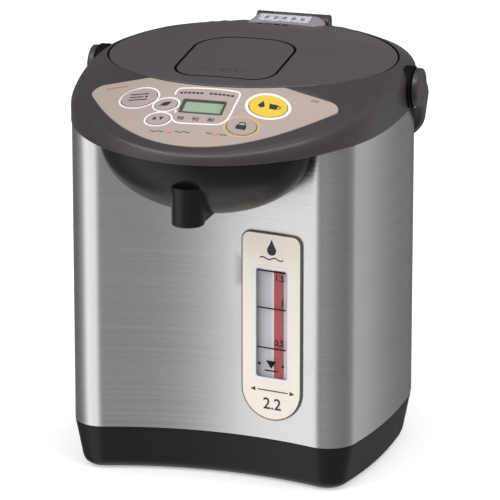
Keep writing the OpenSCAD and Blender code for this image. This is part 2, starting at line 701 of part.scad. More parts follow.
// ---- water gauge ----
gauge_r = 6;         // radius of the plate's upper corners
stripe_x = [gauge_x + 0.5, gauge_x + 6.8];
plate_gap = 0.06;
plate_out = 1.5;
function plate_line() =
    let (h = gauge_w / 2)
    concat(arc([gauge_x, gauge_low + h], h, 180, 360), [[gauge_x + h, gauge_low + h]],
        arc([gauge_x + h - gauge_r, gauge_high - gauge_r], gauge_r, 0, 90),
        [[gauge_x + h - gauge_r, gauge_high]],
        arc([gauge_x - h + gauge_r, gauge_high - gauge_r], gauge_r, 90, 180),
        [[gauge_x - h, gauge_high - gauge_r]]);
module gauge_plate() color([0.86, 0.83, 0.78]) difference() {
    intersection() {
        front_band(plate_gap, plate_out);
        through(-far / 2, pipe_y, plate_line());
    }
    window_hole(0);
}

flange_t = 1.4;
module gauge_window() color(clear) {
    intersection() {
        front_band(-0.5, plate_out - 0.4);
        window_hole(0);
    }
    intersection() {
        front_band(-flange_t, 0);
        window_hole(2);
    }
}

module gauge_stripe() color([0.78, 0.28, 0.3]) intersection() {
    front_band(-flange_t - 0.6, -flange_t);
    block(stripe_x[0], stripe_x[1], -far, pipe_y, window_low, window_high);
}

sight_low = 60;
module sight_tube() color(clear)
    tube([gauge_x, pipe_y, sight_low], sight_r, sight_r - 1.2, window_high + 30 - sight_low);

tee_z = sight_low - 2 - bend_r;
module gauge_elbow() color(black) difference() {
    union() {
        tube([gauge_x, pipe_y, sight_low - 2], pipe_r, pipe_bore, 2);
        bend([gauge_x - bend_r, pipe_y, sight_low - 2], pipe_r, pipe_bore, [90, 90, 0]);
        translate([0, pipe_y, tee_z]) rotate([0, 90, 0])
            tube([0, 0, 0], pipe_r, pipe_bore, gauge_x - bend_r);
    }
    rod([0, pipe_y, tee_z - 20], pipe_r, 40);
}

// ---- electrics and pump ----
inlet_out = case_r + 2;
inlet_deep = 15;
module cord_inlet() color(black) difference() {
    through(inlet_out - inlet_deep, inlet_out, pad(inlet_w, inlet_h, 4, [0, inlet_z]));
    through(inlet_out - inlet_deep + 4, far, pad(inlet_w - 12, inlet_h - 10, 2, [0, inlet_z]));
}

module inlet_pins() color(steel) for (x = [-6, 6])
    translate([x, inlet_out - inlet_deep + 4, inlet_z]) rotate([-90, 0, 0]) rod([0, 0, 0], 1.5, 6);

power_size = [80, 50];
power_y = (board_post[1] + board_post[2]) / 2;
relay = [22, 22, 16.4];
fuse_box = [22, 22, 10.4];
// A box of the given size on the power board, with its lower left corner at p.
module on_board(p, size) translate([p[0], power_y + p[1], board_z + board_t]) cube(size);
module power_board() color([0.1, 0.35, 0.2]) {
    slab(pad(power_size[0], power_size[1], 2, [0, power_y]), board_z, board_z + board_t);
    on_board([-30, -15], relay);
    on_board([6, -11], fuse_box);
}

motor_top = 26;
motor_r = 15;
shaft_r = 1.5;
module pump_motor() color(steel) {
    rod([0, pump_y, floor_top], motor_r, motor_top - floor_top);
    rod([0, pump_y, motor_top - 1], shaft_r, 8);
}

housing_r = 16;
housing_top = 38;
nipple_top = 41;
module pump_housing() color(black) difference() {
    union() {
        rod([0, pump_y, motor_top], housing_r, housing_top - motor_top);
        rod([0, pump_y, motor_top], pipe_r, nipple_top - motor_top);
        translate([0, pump_y, pump_out]) rotate([90, 0, 0])
            rod([0, 0, 0], pipe_r, pump_y - pipe_y - bend_r);
    }
    rod([0, pump_y, motor_top + 2], housing_r - 2, housing_top - motor_top - 4);
    rod([0, pump_y, motor_top - 1], 3, 5);
    rod([0, pump_y, motor_top + 5], pipe_bore, 20);
    translate([0, pump_y - housing_r + 4, pump_out]) rotate([90, 0, 0])
        rod([0, 0, 0], pipe_bore, 20);
}

module pump_impeller() color(black) difference() {
    union() {
        rod([0, pump_y, motor_top + 2.6], 12, 1.4);
        rod([0, pump_y, motor_top + 2.6], 3, 4);
        for (a = [0:60:300]) translate([0, pump_y, 0]) rotate([0, 0, a])
            block(2.5, 11.5, -0.6, 0.6, motor_top + 3.5, motor_top + 8);
    }
    rod([0, pump_y, motor_top], shaft_r + fit, 10);
}

module suction_pipe() color(clear)
    tube([0, pump_y, nipple_top], pipe_r, pipe_bore, vessel_z - vessel_t - nipple_top);

// ---- lid ----
vent_y = [57, 72.5, 74.5, 78.5];
vent_foot = dome_z([0, vent_y[0]]) - 0.3;
vent_slope = (vent_z - vent_foot) / (vent_y[1] - vent_y[0]);
vent_roof = 2.2;     // thickness of the housing's walls
vent_line = [[vent_y[0], lid_low + 4], [vent_y[0], vent_foot], [vent_y[1], vent_z],
    [vent_y[2], vent_z], [vent_y[3], vent_z - 3], [vent_y[3], lid_low + 4]];
vent_hollow = [[vent_y[0] + 4, lid_low - 4], [vent_y[0] + 4, vent_foot + 4 * vent_slope - vent_roof],
    [vent_y[1] - 0.5, vent_z - vent_roof], [vent_y[2] - 1, vent_z - vent_roof],
    [vent_y[3] - vent_roof, vent_z - 2 * vent_roof], [vent_y[3] - vent_roof, lid_low - 4]];
function vent_sides(d) = [[d - vent_w, lid_low - 5], [vent_w - d, lid_low - 5],
    [vent_w - d, lid_low + 8], [vent_w - d - 8, vent_z + 1], [d + 8 - vent_w, vent_z + 1],
    [d - vent_w, lid_low + 8]];
// Places a child on the housing's sloping roof, from its front edge back.
module on_vent() translate([0, vent_y[0], vent_foot]) rotate([atan(vent_slope), 0, 0]) children();
grille_x = 17.2;
grille_y = [4.5, 14.9];
grille_slots = [-13.5:6:10.5];
slot_y = [48, 52];   // small steam slots ahead of the housing
slot_xs = [-13.5:5.6:3.3];
lever_z = dome_z([0, -lever_pin_y]) - 6.5;
lever_r = 1.5;       // radius of the lever's pin
ear_out = lever_w + seam + 0.5;
module lever_line(d) polygon(both(concat(
    [[0, -lever_front - d]],
    arc([lever_w - 15, 15 - lever_front], 15 + d, -90, 0),
    arc([lever_w - 22, -lever_back - 22], 22 + d, 0, 90),
    [[0, d - lever_back]])));
module lid_shell() color(charcoal) difference() {
    union() {
        difference() {
            intersection() {
                slab(lid_line(0), lid_low, lid_z + 5);
                dome(0);
            }
            intersection() {
                slab(lid_line(-lid_t), lid_low - 1, lid_z + 5);
                dome(-lid_t);
            }
        }
        intersection() {
            across(2 * vent_w, vent_line);
            through(vent_y[0] - 1, vent_y[3] + 1, vent_sides(0));
            slab(lid_line(0), lid_low, vent_z + 1);
        }
        block(slip - ear_x, ear_x - slip, hinge_y - 9, hinge_y, hinge_z - 3.5, hinge_z + 1);
        rod_x([slip - ear_x, hinge_y, hinge_z], barrel_r, 2 * (ear_x - slip));
        intersection() {
            for (s = [0, 1]) mirror([s, 0, 0]) block(ear_out, ear_out + 4,
                -lever_pin_y - 3.5, 3.5 - lever_pin_y, lever_z - 3.5, lid_z);
            dome(-0.5);
        }
    }
    translate([0, 0, lid_low + 3]) linear_extrude(40) lever_line(seam);
    intersection() {
        across(2 * vent_w, vent_hollow);
        through(vent_y[0], vent_y[3], vent_sides(vent_roof));
    }
    on_vent() block(-grille_x, grille_x, grille_y[0], grille_y[1], -0.6, 1);
    on_vent() for (x = grille_slots) block(x, x + 3, grille_y[0] + 1.2, grille_y[1] - 1.2, -4, 0);
    for (x = slot_xs) block(x, x + 3.4, slot_y[0], slot_y[1],
        dome_z([0, slot_y[1]]) - 4, dome_z([0, slot_y[0]]) + 1);
    block(-bolt_x - 0.5, bolt_x + 0.5, -far / 2, -lid_ry / 2, lid_low - 1, bolt_z + bolt_t + 0.4);
    rod_x([-40, -lever_pin_y, lever_z], lever_r, 80);
    rod_x([-40, hinge_y, hinge_z], pin_r + fit, 80);
}

tray_t = 2.5;
drum_r = mouth_r - 4;
inner_z = well_z + 3.5;
inner_t = 1.5;
steam_y = 20;
module lid_tray() color(black) difference() {
    union() {
        slab(lid_line(-1), lid_low - tray_t, lid_low);
        rod([0, 0, inner_z + inner_t], drum_r, lid_low - inner_z - inner_t - 0.5);
        for (s = [0, 1]) mirror([s, 0, 0]) block(bolt_x + slip, bolt_x + slip + 2,
            5 - lid_ry, 17 - lid_ry, lid_low - 1, bolt_z + bolt_t);
    }
    rod([0, 0, inner_z], drum_r - 2, lid_low - tray_t - inner_z);
    rod([0, steam_y, 0], 8, lid_low + 1);
}

module inner_lid() color(steel) difference() {
    rod([0, 0, inner_z], flange_r + 1, inner_t);
    rod([0, steam_y, inner_z - 1], 5, inner_t + 2);
}

gasket_t = 1.2;
module lid_gasket() color(rubber)
    tube([0, 0, inner_z - gasket_t], flange_r + 1, hole_r + 1, gasket_t);

module steam_valve() color(black) difference() {
    rod([0, steam_y, inner_z + inner_t], 8.5, 8);
    rod([0, steam_y, inner_z], 6, 8.5);
    rod([0, steam_y, inner_z], 3, 20);
}

module steam_vent() color(steel) on_vent() difference() {
    block(slip / 2 - grille_x, grille_x - slip / 2, grille_y[0] + slip / 2, grille_y[1] - slip / 2,
        -0.6, 0.2);
    for (x = grille_slots) block(x, x + 3, grille_y[0] + 2.4, grille_y[1] - 2.4, -1, 1);
}

module lever_pin() color(steel)
    rod_x([-ear_out - 3.5, -lever_pin_y, lever_z], lever_r, 2 * ear_out + 7);

lug_x = [23, 28];
module latch_lever() color(charcoal) difference() {
    union() {
        difference() {
            intersection() {
                translate([0, 0, lid_low]) linear_extrude(40) lever_line(0);
                dome(0);
            }
            dome(-lever_t);
        }
        intersection() {
            for (s = [0, 1]) mirror([s, 0, 0]) block(lug_x[0], lug_x[1],
                -lever_pin_y - 3.2, 3.2 - lever_pin_y, lever_z - 3.2, lid_z);
            dome(-lever_t + 0.5);
        }
    }
    rod_x([-40, -lever_pin_y, lever_z], lever_r + fit, 80);
}

bolt_nose = 0.6;     // how far the bolt stands out of the lid's edge
module latch_bolt() color(steel) block(-bolt_x, bolt_x, lid_c[1] - lid_ry - bolt_nose,
    14 - lid_ry, bolt_z, bolt_z + bolt_t);

// ---- handle ----
function half_ring(a, b) = [for (i = [0:48]) [a * cos(180 * i / 48), b * sin(180 * i / 48)]];
function band_line(a0, b0, a1, b1) =
    let (inner = half_ring(a0, b0))
    concat(half_ring(a1, b1), [for (i = [48:-1:0]) inner[i]]);
arm_step = 0.4;      // how far the arms stand inside the faces of the hub discs
// Angle below level at which the handle's lower inner edge comes to its gap from the collar.
stow_angle = acos((collar_w + handle_gap) / norm([handle_l, band_w / 2]))
    - atan(band_w / 2 / handle_l);
module stowed() translate([0, 0, pivot_z]) rotate([-stow_angle, 0, 0]) children();
module handle() color(charcoal) difference() {
    union() {
        stowed() translate([0, 0, -band_w / 2]) linear_extrude(band_w)
            polygon(band_line(arm_in + arm_step, handle_l, arm_out - arm_step, handle_l + arm_t));
        for (s = [0, 1]) mirror([s, 0, 0]) rod_x([arm_in, 0, pivot_z], hub_r, arm_t);
    }
    for (s = [0, 1]) mirror([s, 0, 0]) {
        rod_x([arm_in - 1, 0, pivot_z], pivot_r + fit, 20);
        rod_x([arm_out - 0.9, 0, pivot_z], pivot_r + 4, 20);
    }
}

grip_x = 50;         // half length of the grip
module handle_grip() color(rubber) intersection() {
    stowed() translate([0, 0, -band_w / 2]) linear_extrude(band_w)
        polygon(band_line(arm_out - arm_step, handle_l + arm_t,
            arm_out - arm_step + grip_t - arm_t, handle_l + grip_t));
    stowed() block(-grip_x, grip_x, 0, far, -band_w, band_w);
}

module hub_caps() color(steel) for (s = [0, 1]) mirror([s, 0, 0])
    rod_x([arm_out - 0.9, 0, pivot_z], pivot_r + 4, 0.9);

outer_case();
base_shell();
base_pan();
base_screws();
inner_vessel();
vessel_neck();
vessel_floor();
vacuum_jacket();
mouth_seal();
heater_plate();
thermistor();
heat_shield();
collar();
mouth_well();
hinge_bracket();
hinge_pin();
chin();
nozzle();
nozzle_web();
outlet_pipe();
delivery_hose();
control_panel();
display_window();
display_module();
control_board();
indicator_lamps();
gauge_plate();
gauge_window();
sight_tube();
gauge_stripe();
gauge_elbow();
cord_inlet();
inlet_pins();
power_board();
pump_housing();
pump_motor();
suction_pipe();
pivot_pins();
turntable();
feet();
pump_impeller();
course_key();
save_key();
temperature_key();
dispense_key();
unlock_key();
lid_shell();
lid_tray();
inner_lid();
lid_gasket();
steam_vent();
steam_valve();
lever_pin();
latch_lever();
latch_bolt();
handle();
handle_grip();
hub_caps();
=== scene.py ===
"""Looks of the electric thermo pot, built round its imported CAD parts. Shapes are in millimetres."""

from bisect import bisect_right
from math import acos, atan, atan2, ceil, cos, degrees, dist, hypot, pi, radians, sin, sqrt

import bmesh
import bpy
import numpy as np
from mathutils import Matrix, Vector
from mathutils.geometry import delaunay_2d_cdt


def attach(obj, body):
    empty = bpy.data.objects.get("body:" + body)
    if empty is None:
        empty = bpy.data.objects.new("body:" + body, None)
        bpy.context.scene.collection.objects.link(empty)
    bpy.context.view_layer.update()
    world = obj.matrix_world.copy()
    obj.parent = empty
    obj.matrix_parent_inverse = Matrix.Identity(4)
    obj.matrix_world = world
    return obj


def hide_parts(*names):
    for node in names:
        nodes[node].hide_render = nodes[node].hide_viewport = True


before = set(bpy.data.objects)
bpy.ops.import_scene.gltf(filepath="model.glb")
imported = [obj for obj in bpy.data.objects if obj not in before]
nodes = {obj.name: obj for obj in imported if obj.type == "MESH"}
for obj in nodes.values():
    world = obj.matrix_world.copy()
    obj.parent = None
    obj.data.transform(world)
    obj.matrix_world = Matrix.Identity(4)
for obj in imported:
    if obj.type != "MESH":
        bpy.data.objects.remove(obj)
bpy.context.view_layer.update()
scene = bpy.context.scene
MM = 0.001

# ---- sizes, as in the part's source ----
CASE_R, CASE_TOP, BASE_H = 101.0, 223.0, 30.0
SIDE_R, SIDE_TURN, FLANK = 350.0, 13.2, 12.0
CORNER_R, FRONT_TURN = 19.0, 17.8
COLLAR_W, SHOULDER_R, CHEEK_R = 101.9, 274.0, 108.0
COLLAR_TURN, NOSE_TURN, REACH = 8.6, 22.9, 158.0
NOSE_RIM, RIM_END, TOP_Z, SLOPE, COLLAR_T = 220.6, 106.98, 253.1, 0.43, 2.5
LID_C, LID_RX, LID_RY, LID_TOP, DOME_R = (0.0, -5.0), 92.0, 86.0, 262.5, 426.0
SEAM, LID_LOW, LIP_Z = 0.8, 246.0, 248.0
LEVER = (32.0, 78.0, 3.5)
PIVOT_Z, HUB_R, ARM_IN, ARM_OUT = 237.5, 12.3, 104.9, 109.2
HINGE_Y, HINGE_Z, HANDLE_L = 88.0, 253.0, 128.0
STOW = acos((COLLAR_W + 2.2) / hypot(HANDLE_L, 8.5)) - atan(8.5 / HANDLE_L)
GAUGE_X, GAUGE_W, GAUGE_LOW, GAUGE_HIGH = 40.4, 41.2, 43.0, 165.0
WINDOW_W, WINDOW_TALL, WINDOW_MID = 22.2, 71.1, (GAUGE_X, 106.05)
CHIN_W, CHIN_H, CHIN_D = 66.5, 46.0, 58.5
NOZZLE_Y, NOZZLE_R, NOZZLE_Z = 144.0, 10.2, 179.5
SAG = 0.012


# ---- outlines ----
def arc(c, r, a0, a1, d=0.0):
    n = max(2, ceil(abs(a1 - a0) / (2 * degrees(acos(1 - SAG / r)))))
    turns = [radians(a0 + (a1 - a0) * i / n) for i in range(n)]
    return [(c[0] + (r + d) * cos(a), c[1] + (r + d) * sin(a)) for a in turns]


def both(half):
    return half + [(-x, y) for x, y in reversed(half) if x > 0.001]


def oval(rx, ry, c=(0.0, 0.0), n=0):
    n = n or 4 * ceil(90 / (2 * degrees(acos(1 - SAG / max(rx, ry)))))
    return [(c[0] + rx * cos(2 * pi * i / n), c[1] + ry * sin(2 * pi * i / n)) for i in range(n)]


def pad(w, h, r, c=(0.0, 0.0)):
    x, y = w / 2 - r, h / 2 - r
    line = []
    for k, (sx, sy) in enumerate(((1, 1), (-1, 1), (-1, -1), (1, -1))):
        cx, cy, end = c[0] + sx * x, c[1] + sy * y, radians(90 * k + 90)
        line += arc((cx, cy), r, 90 * k, 90 * k + 90) + [(cx + r * cos(end), cy + r * sin(end))]
    return line


def inset(line, d):
    """A closed counter-clockwise outline moved inward by d. An outline that is a function is exact."""
    if callable(line):
        return line(-d)
    if abs(d) < 1e-9:
        return list(line)
    p = np.array(line)
    e1, e2 = p - np.roll(p, 1, 0), np.roll(p, -1, 0) - p
    e1 /= np.linalg.norm(e1, axis=1)[:, None]
    e2 /= np.linalg.norm(e2, axis=1)[:, None]
    n1, n2 = np.stack([-e1[:, 1], e1[:, 0]], 1), np.stack([-e2[:, 1], e2[:, 0]], 1)
    m = (n1 + n2) / np.maximum(0.4, 1 + (n1 * n2).sum(1))[:, None]
    return [tuple(q) for q in p + d * m]


side_c = (CASE_R - SIDE_R, -FLANK)
corner_c = (side_c[0] + (SIDE_R - CORNER_R) * cos(radians(SIDE_TURN)),
            side_c[1] - (SIDE_R - CORNER_R) * sin(radians(SIDE_TURN)))
corner_end = (corner_c[0] - CORNER_R * sin(radians(FRONT_TURN)),
              corner_c[1] - CORNER_R * cos(radians(FRONT_TURN)))
FRONT_R = corner_end[0] / sin(radians(FRONT_TURN))
FRONT_CY = corner_end[1] - FRONT_R * cos(radians(FRONT_TURN))


def case_line(d):
    return both(arc((0, FRONT_CY), FRONT_R, 90, 90 - FRONT_TURN, -d)
                + arc(corner_c, CORNER_R, -90 - FRONT_TURN, -SIDE_TURN, d)
                + arc(side_c, SIDE_R, -SIDE_TURN, 0, d)
                + arc((0, 0), CASE_R, 0, 90, d) + [(0, CASE_R + d)])


def face(x):
    return -FRONT_CY - sqrt(FRONT_R ** 2 - x * x)


side0 = COLLAR_W - SHOULDER_R
cheek0 = (side0 + (SHOULDER_R - CHEEK_R) * cos(radians(COLLAR_TURN)),
          -(SHOULDER_R - CHEEK_R) * sin(radians(COLLAR_TURN)))
cheek_end = (cheek0[0] + CHEEK_R * sin(radians(NOSE_TURN)), cheek0[1] - CHEEK_R * cos(radians(NOSE_TURN)))
NOSE_R = cheek_end[0] / sin(radians(NOSE_TURN))
collar_flank = REACH + cheek_end[1] - NOSE_R * (1 - cos(radians(NOSE_TURN)))


def collar_line(d):
    return both(arc((0, NOSE_R - REACH), NOSE_R, -90, NOSE_TURN - 90, d)
                + arc((cheek0[0], cheek0[1] - collar_flank), CHEEK_R, NOSE_TURN - 90, -COLLAR_TURN, d)
                + arc((side0, -collar_flank), SHOULDER_R, -COLLAR_TURN, 0, d)
                + [(COLLAR_W + d, -collar_flank * (1 - k / 4)) for k in range(4)]
                + arc((0, 0), COLLAR_W, 0, 90, d) + [(0, COLLAR_W + d)])


def lid_line(d):
    return oval(LID_RX + d, LID_RY + d, LID_C, 200)


def cone_z(x, y):
    return TOP_Z - SLOPE * max(0.0, hypot(x - LID_C[0], y - LID_C[1]) - (LID_RX - 1))


def dome_z(x, y):
    return LID_TOP - DOME_R + sqrt(DOME_R ** 2 - (x - LID_C[0]) ** 2 - (y - LID_C[1]) ** 2)


def panel_line(d):
    tip, tip_r, shelf, half = 73.0, 6.0, -83.5, 75.0
    a, b = LID_RX + SEAM + 1.5 - d, LID_RY + SEAM + 1.5 - d
    x2 = min(71.0, a * sqrt(1 - ((shelf + d - LID_C[1]) / b) ** 2))

    def low(x):
        u = (x / 60) ** 2
        return 28.75 * u + 2.77 * u * u - 149.3
    edge = [(half * i / 30, low(half * i / 30) - d) for i in range(31)]
    edge += arc((tip, shelf - tip_r), tip_r + d, -30, 90) + [(tip, shelf + d)]
    edge += [(x, LID_C[1] - b * sqrt(1 - (x / a) ** 2)) for x in (x2 * i / 24 for i in range(24, -1, -1))]
    return both(edge)


def lever_line(d):
    w, front, back = LEVER
    return both([(0, -front - d)] + arc((w - 15, 15 - front), 15 + d, -90, 0)
                + arc((w - 22, -back - 22), 22 + d, 0, 90) + [(0, d - back)])


# ---- places: how a flat outline point and a height become a point of the frame ----
def flat(u, v, h):
    return (u, v, h)


def front(u, v, h):
    """x, z and the distance out of the hollow front face."""
    y = -face(u)
    return (u - h * u / FRONT_R, y + h * (FRONT_CY - y) / FRONT_R, v)


def tilt(p):
    """The tangent plane of the collar's conical top at p."""
    a, s = atan2(p[1] - LID_C[1], p[0] - LID_C[0]), atan(SLOPE)
    z0 = cone_z(*p)

    def at(u, v, h):
        r, t = u * cos(a) + v * sin(a), -u * sin(a) + v * cos(a)
        r, z = r * cos(s) + h * sin(s), -r * sin(s) + h * cos(s)
        return (p[0] + r * cos(a) - t * sin(a), p[1] + r * sin(a) + t * cos(a), z0 + z)
    return at


def on_panel(u, v, h):
    return (u, v, cone_z(u, v) + 0.4 + h)


def x_axis(y, z, s=1):
    return lambda u, v, h: (s * h, y + u, z + v)


# ---- mesh tools ----
def within(pts, poly):
    x, y = pts[:, 0][:, None], pts[:, 1][:, None]
    x0, y0 = poly[:, 0][None], poly[:, 1][None]
    x1, y1 = np.roll(poly[:, 0], -1)[None], np.roll(poly[:, 1], -1)[None]
    cross = (y0 > y) != (y1 > y)
    with np.errstate(divide="ignore", invalid="ignore"):
        at = x0 + (y - y0) * (x1 - x0) / (y1 - y0)
    return (cross & (x < at)).sum(1) % 2 == 1


def clear_of(pts, poly, gap):
    a, b = poly, np.roll(poly, -1, 0)
    e = b - a
    t = ((pts[:, None] - a[None]) * e[None]).sum(2) / np.maximum(1e-12, (e * e).sum(1))[None]
    q = a[None] + np.clip(t, 0, 1)[..., None] * e[None]
    return np.sqrt(((pts[:, None] - q) ** 2).sum(2)).min(1) > gap


def lower(h, d):
    return (lambda u, v: h(u, v) - d) if callable(h) else h - d


def rounded(r, h, n=4, mat=0):
    """Rings of a rounded edge, from the top face out to the side."""
    turns = [pi / 2 * i / n for i in range(n + 1)]
    return [(r * (1 - sin(t)), lower(h, r * (1 - cos(t))), mat) for t in turns]


def painted_shade_foot(rings, start, mat):
    """The rings of an edge, from ring start on in another material, painted near-black for the shade in the
    gap beside it.
    """
    return [(d, h, mat if i >= start else m) for i, (d, h, m) in enumerate(rings)]


def hubs(s, prof, n=72, **more):
    """The same rings round the handle's axis, on both sides."""
    for side in (1, -1):
        s.place = x_axis(0, PIVOT_Z, side)
        s.lathe(prof, n, **more)


class Shape:
    def __init__(self, place=flat):
        self.co, self.uv, self.faces, self.mats, self.place = [], [], [], [], place

    def points(self, co, uv=None):
        """Adds points of the frame and gives their numbers."""
        start = len(self.co)
        self.co += co
        self.uv += uv or [p[:2] for p in co]
        return list(range(start, len(self.co)))

    def ring(self, line, h):
        return self.points([self.place(u, v, h(u, v) if callable(h) else h) for u, v in line], list(line))

    def face(self, ids, mat=0):
        self.faces.append(tuple(ids))
        self.mats.append(mat)

    def strip(self, a, b, mat=0, closed=True):
        for i in range(len(a) if closed else len(a) - 1):
            j = (i + 1) % len(a)
            self.face((a[i], a[j], b[j], b[i]), mat)

    def skin(self, rings, mat=0, closed=True):
        for a, b in zip(rings, rings[1:]):
            self.strip(a, b, mat, closed)

    def cap(self, loops, h, step=6.0, mat=0, extra=None):
        """Fills the first loop less the others with triangles, with points between for a curved face."""
        polys = [np.array([self.uv[i] for i in loop]) for loop in loops]
        ids = [i for loop in loops for i in loop]
        edges, n = [], 0
        for loop in loops:
            edges += [(n + k, n + (k + 1) % len(loop)) for k in range(len(loop))]
            n += len(loop)
        lo, hi = polys[0].min(0), polys[0].max(0)
        if extra is None:
            grid = [(lo[0] + step * (i + 0.5 * (j % 2)), lo[1] + step * 0.866 * j)
                    for j in range(int((hi[1] - lo[1]) / (step * 0.866)) + 1)
                    for i in range(int((hi[0] - lo[0]) / step) + 1)] if step else []
            gap = step * 0.45
        else:
            grid, gap = extra, step
        if grid:
            g = np.array(grid)
            keep = within(g, polys[0])
            for poly in polys[1:]:
                keep &= ~within(g, poly)
            g = g[keep]
            for poly in polys:
                if len(g):
                    g = g[clear_of(g, poly, gap)]
            ids += self.ring([tuple(q) for q in g], h)
        pts = [Vector(self.uv[i]) for i in ids]
        out, _, tris, orig, _, _ = delaunay_2d_cdt(pts, edges, [], 0, 1e-7)
        back = [ids[o[0]] if o else self.ring([tuple(out[k])], h)[0] for k, o in enumerate(orig)]
        mid = np.array([[sum(out[k][c] for k in t) / 3 for c in (0, 1)] for t in tris])
        keep = within(mid, polys[0])
        for poly in polys[1:]:
            keep &= ~within(mid, poly)
        for t, ok in zip(tris, keep):
            if ok:
                self.face([back[k] for k in t], mat)

    def wall(self, line, rings, sign=1):
        ids = [self.ring(inset(line, sign * r[0]), r[1]) for r in rings]
        for a, b, r in zip(ids, ids[1:], rings[1:]):
            self.strip(a, b, r[2] if len(r) > 2 else 0)
        return ids[0], ids[-1]

    def body(self, line, rings, holes=(), wells=(), top=0.0, under=None, step=6.0):
        """An outline with rings from its top face down its side. Holes go through, wells have a floor."""
        outer = self.wall(line, rings)
        inner = [self.wall(hl, hr, -1) for hl, hr in holes]
        deep = [self.wall(w[0], w[1], -1) for w in wells]
        self.cap([outer[0]] + [i[0] for i in inner + deep], top, step)
        if under is not None:
            self.cap([outer[1]] + [i[1] for i in inner], under, step)
        for w, ends in zip(wells, deep):
            self.cap([ends[1]], w[1][-1][1], step, w[2] if len(w) > 2 else 0)

    def plate(self, line, r, n, top, under, step, holes=(), wells=()):
        """A body whose only edge is the rounded one at its top."""
        self.body(line, rounded(r, top, n) + [(0, under)], holes, wells, top, under, step)

    def slab(self, line, low, high, holes=(), step=3.0):
        """A thin flat print or plate with square edges."""
        self.body(line, [(0, high), (0, low)], [(hl, [(0, high), (0, low)]) for hl in holes],
                  top=high, under=low, step=step)

    def lathe(self, prof, n=72, mat=0, start=True, end=True):
        """Rings of (height, radius) round the place's own axis."""
        ids = [self.ring(oval(r, r, n=n), h) for h, r in prof]
        self.skin(ids, mat)
        if start:
            self.cap([ids[0]], prof[0][0], 0, mat)
        if end:
            self.cap([ids[-1]], prof[-1][0], 0, mat)


def add_object(name, data):
    ob = bpy.data.objects.new(name, data)
    scene.collection.objects.link(ob)
    return ob


def make(name, shape, mats, body, slot, stands_for=(), sharp=38, solid=0.0, sheet=False):
    me = bpy.data.meshes.new(name)
    me.from_pydata([(x * MM, y * MM, z * MM) for x, y, z in shape.co], [], shape.faces)
    for m in mats:
        me.materials.append(m)
    me.polygons.foreach_set("material_index", shape.mats)
    bm = bmesh.new()
    bm.from_mesh(me)
    # An open sheet is merged at its seam and faces outward.
    if sheet:
        bmesh.ops.remove_doubles(bm, verts=bm.verts, dist=1e-6)
    bmesh.ops.recalc_face_normals(bm, faces=bm.faces)
    if sheet and max(bm.faces, key=lambda f: f.calc_center_median().y).normal.y < 0:
        bmesh.ops.reverse_faces(bm, faces=bm.faces)
    bm.to_mesh(me)
    bm.free()
    me.polygons.foreach_set("use_smooth", [True] * len(me.polygons))
    me.set_sharp_from_angle(angle=radians(sharp))
    ob = add_object(name, me)
    if solid:
        m = ob.modifiers.new("thickness", "SOLIDIFY")
        m.thickness, m.offset = solid * MM, -1
    w = ob.modifiers.new("normals", "WEIGHTED_NORMAL")
    w.keep_sharp, w.mode, w.weight = True, "FACE_AREA", 50
    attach(ob, body)
    if stands_for:
        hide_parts(*stands_for)


# ---- materials ----
def srgb(r, g, b):
    def lin(c):
        c /= 255
        return c / 12.92 if c <= 0.04045 else ((c + 0.055) / 1.055) ** 2.4
    return (lin(r), lin(g), lin(b), 1.0)


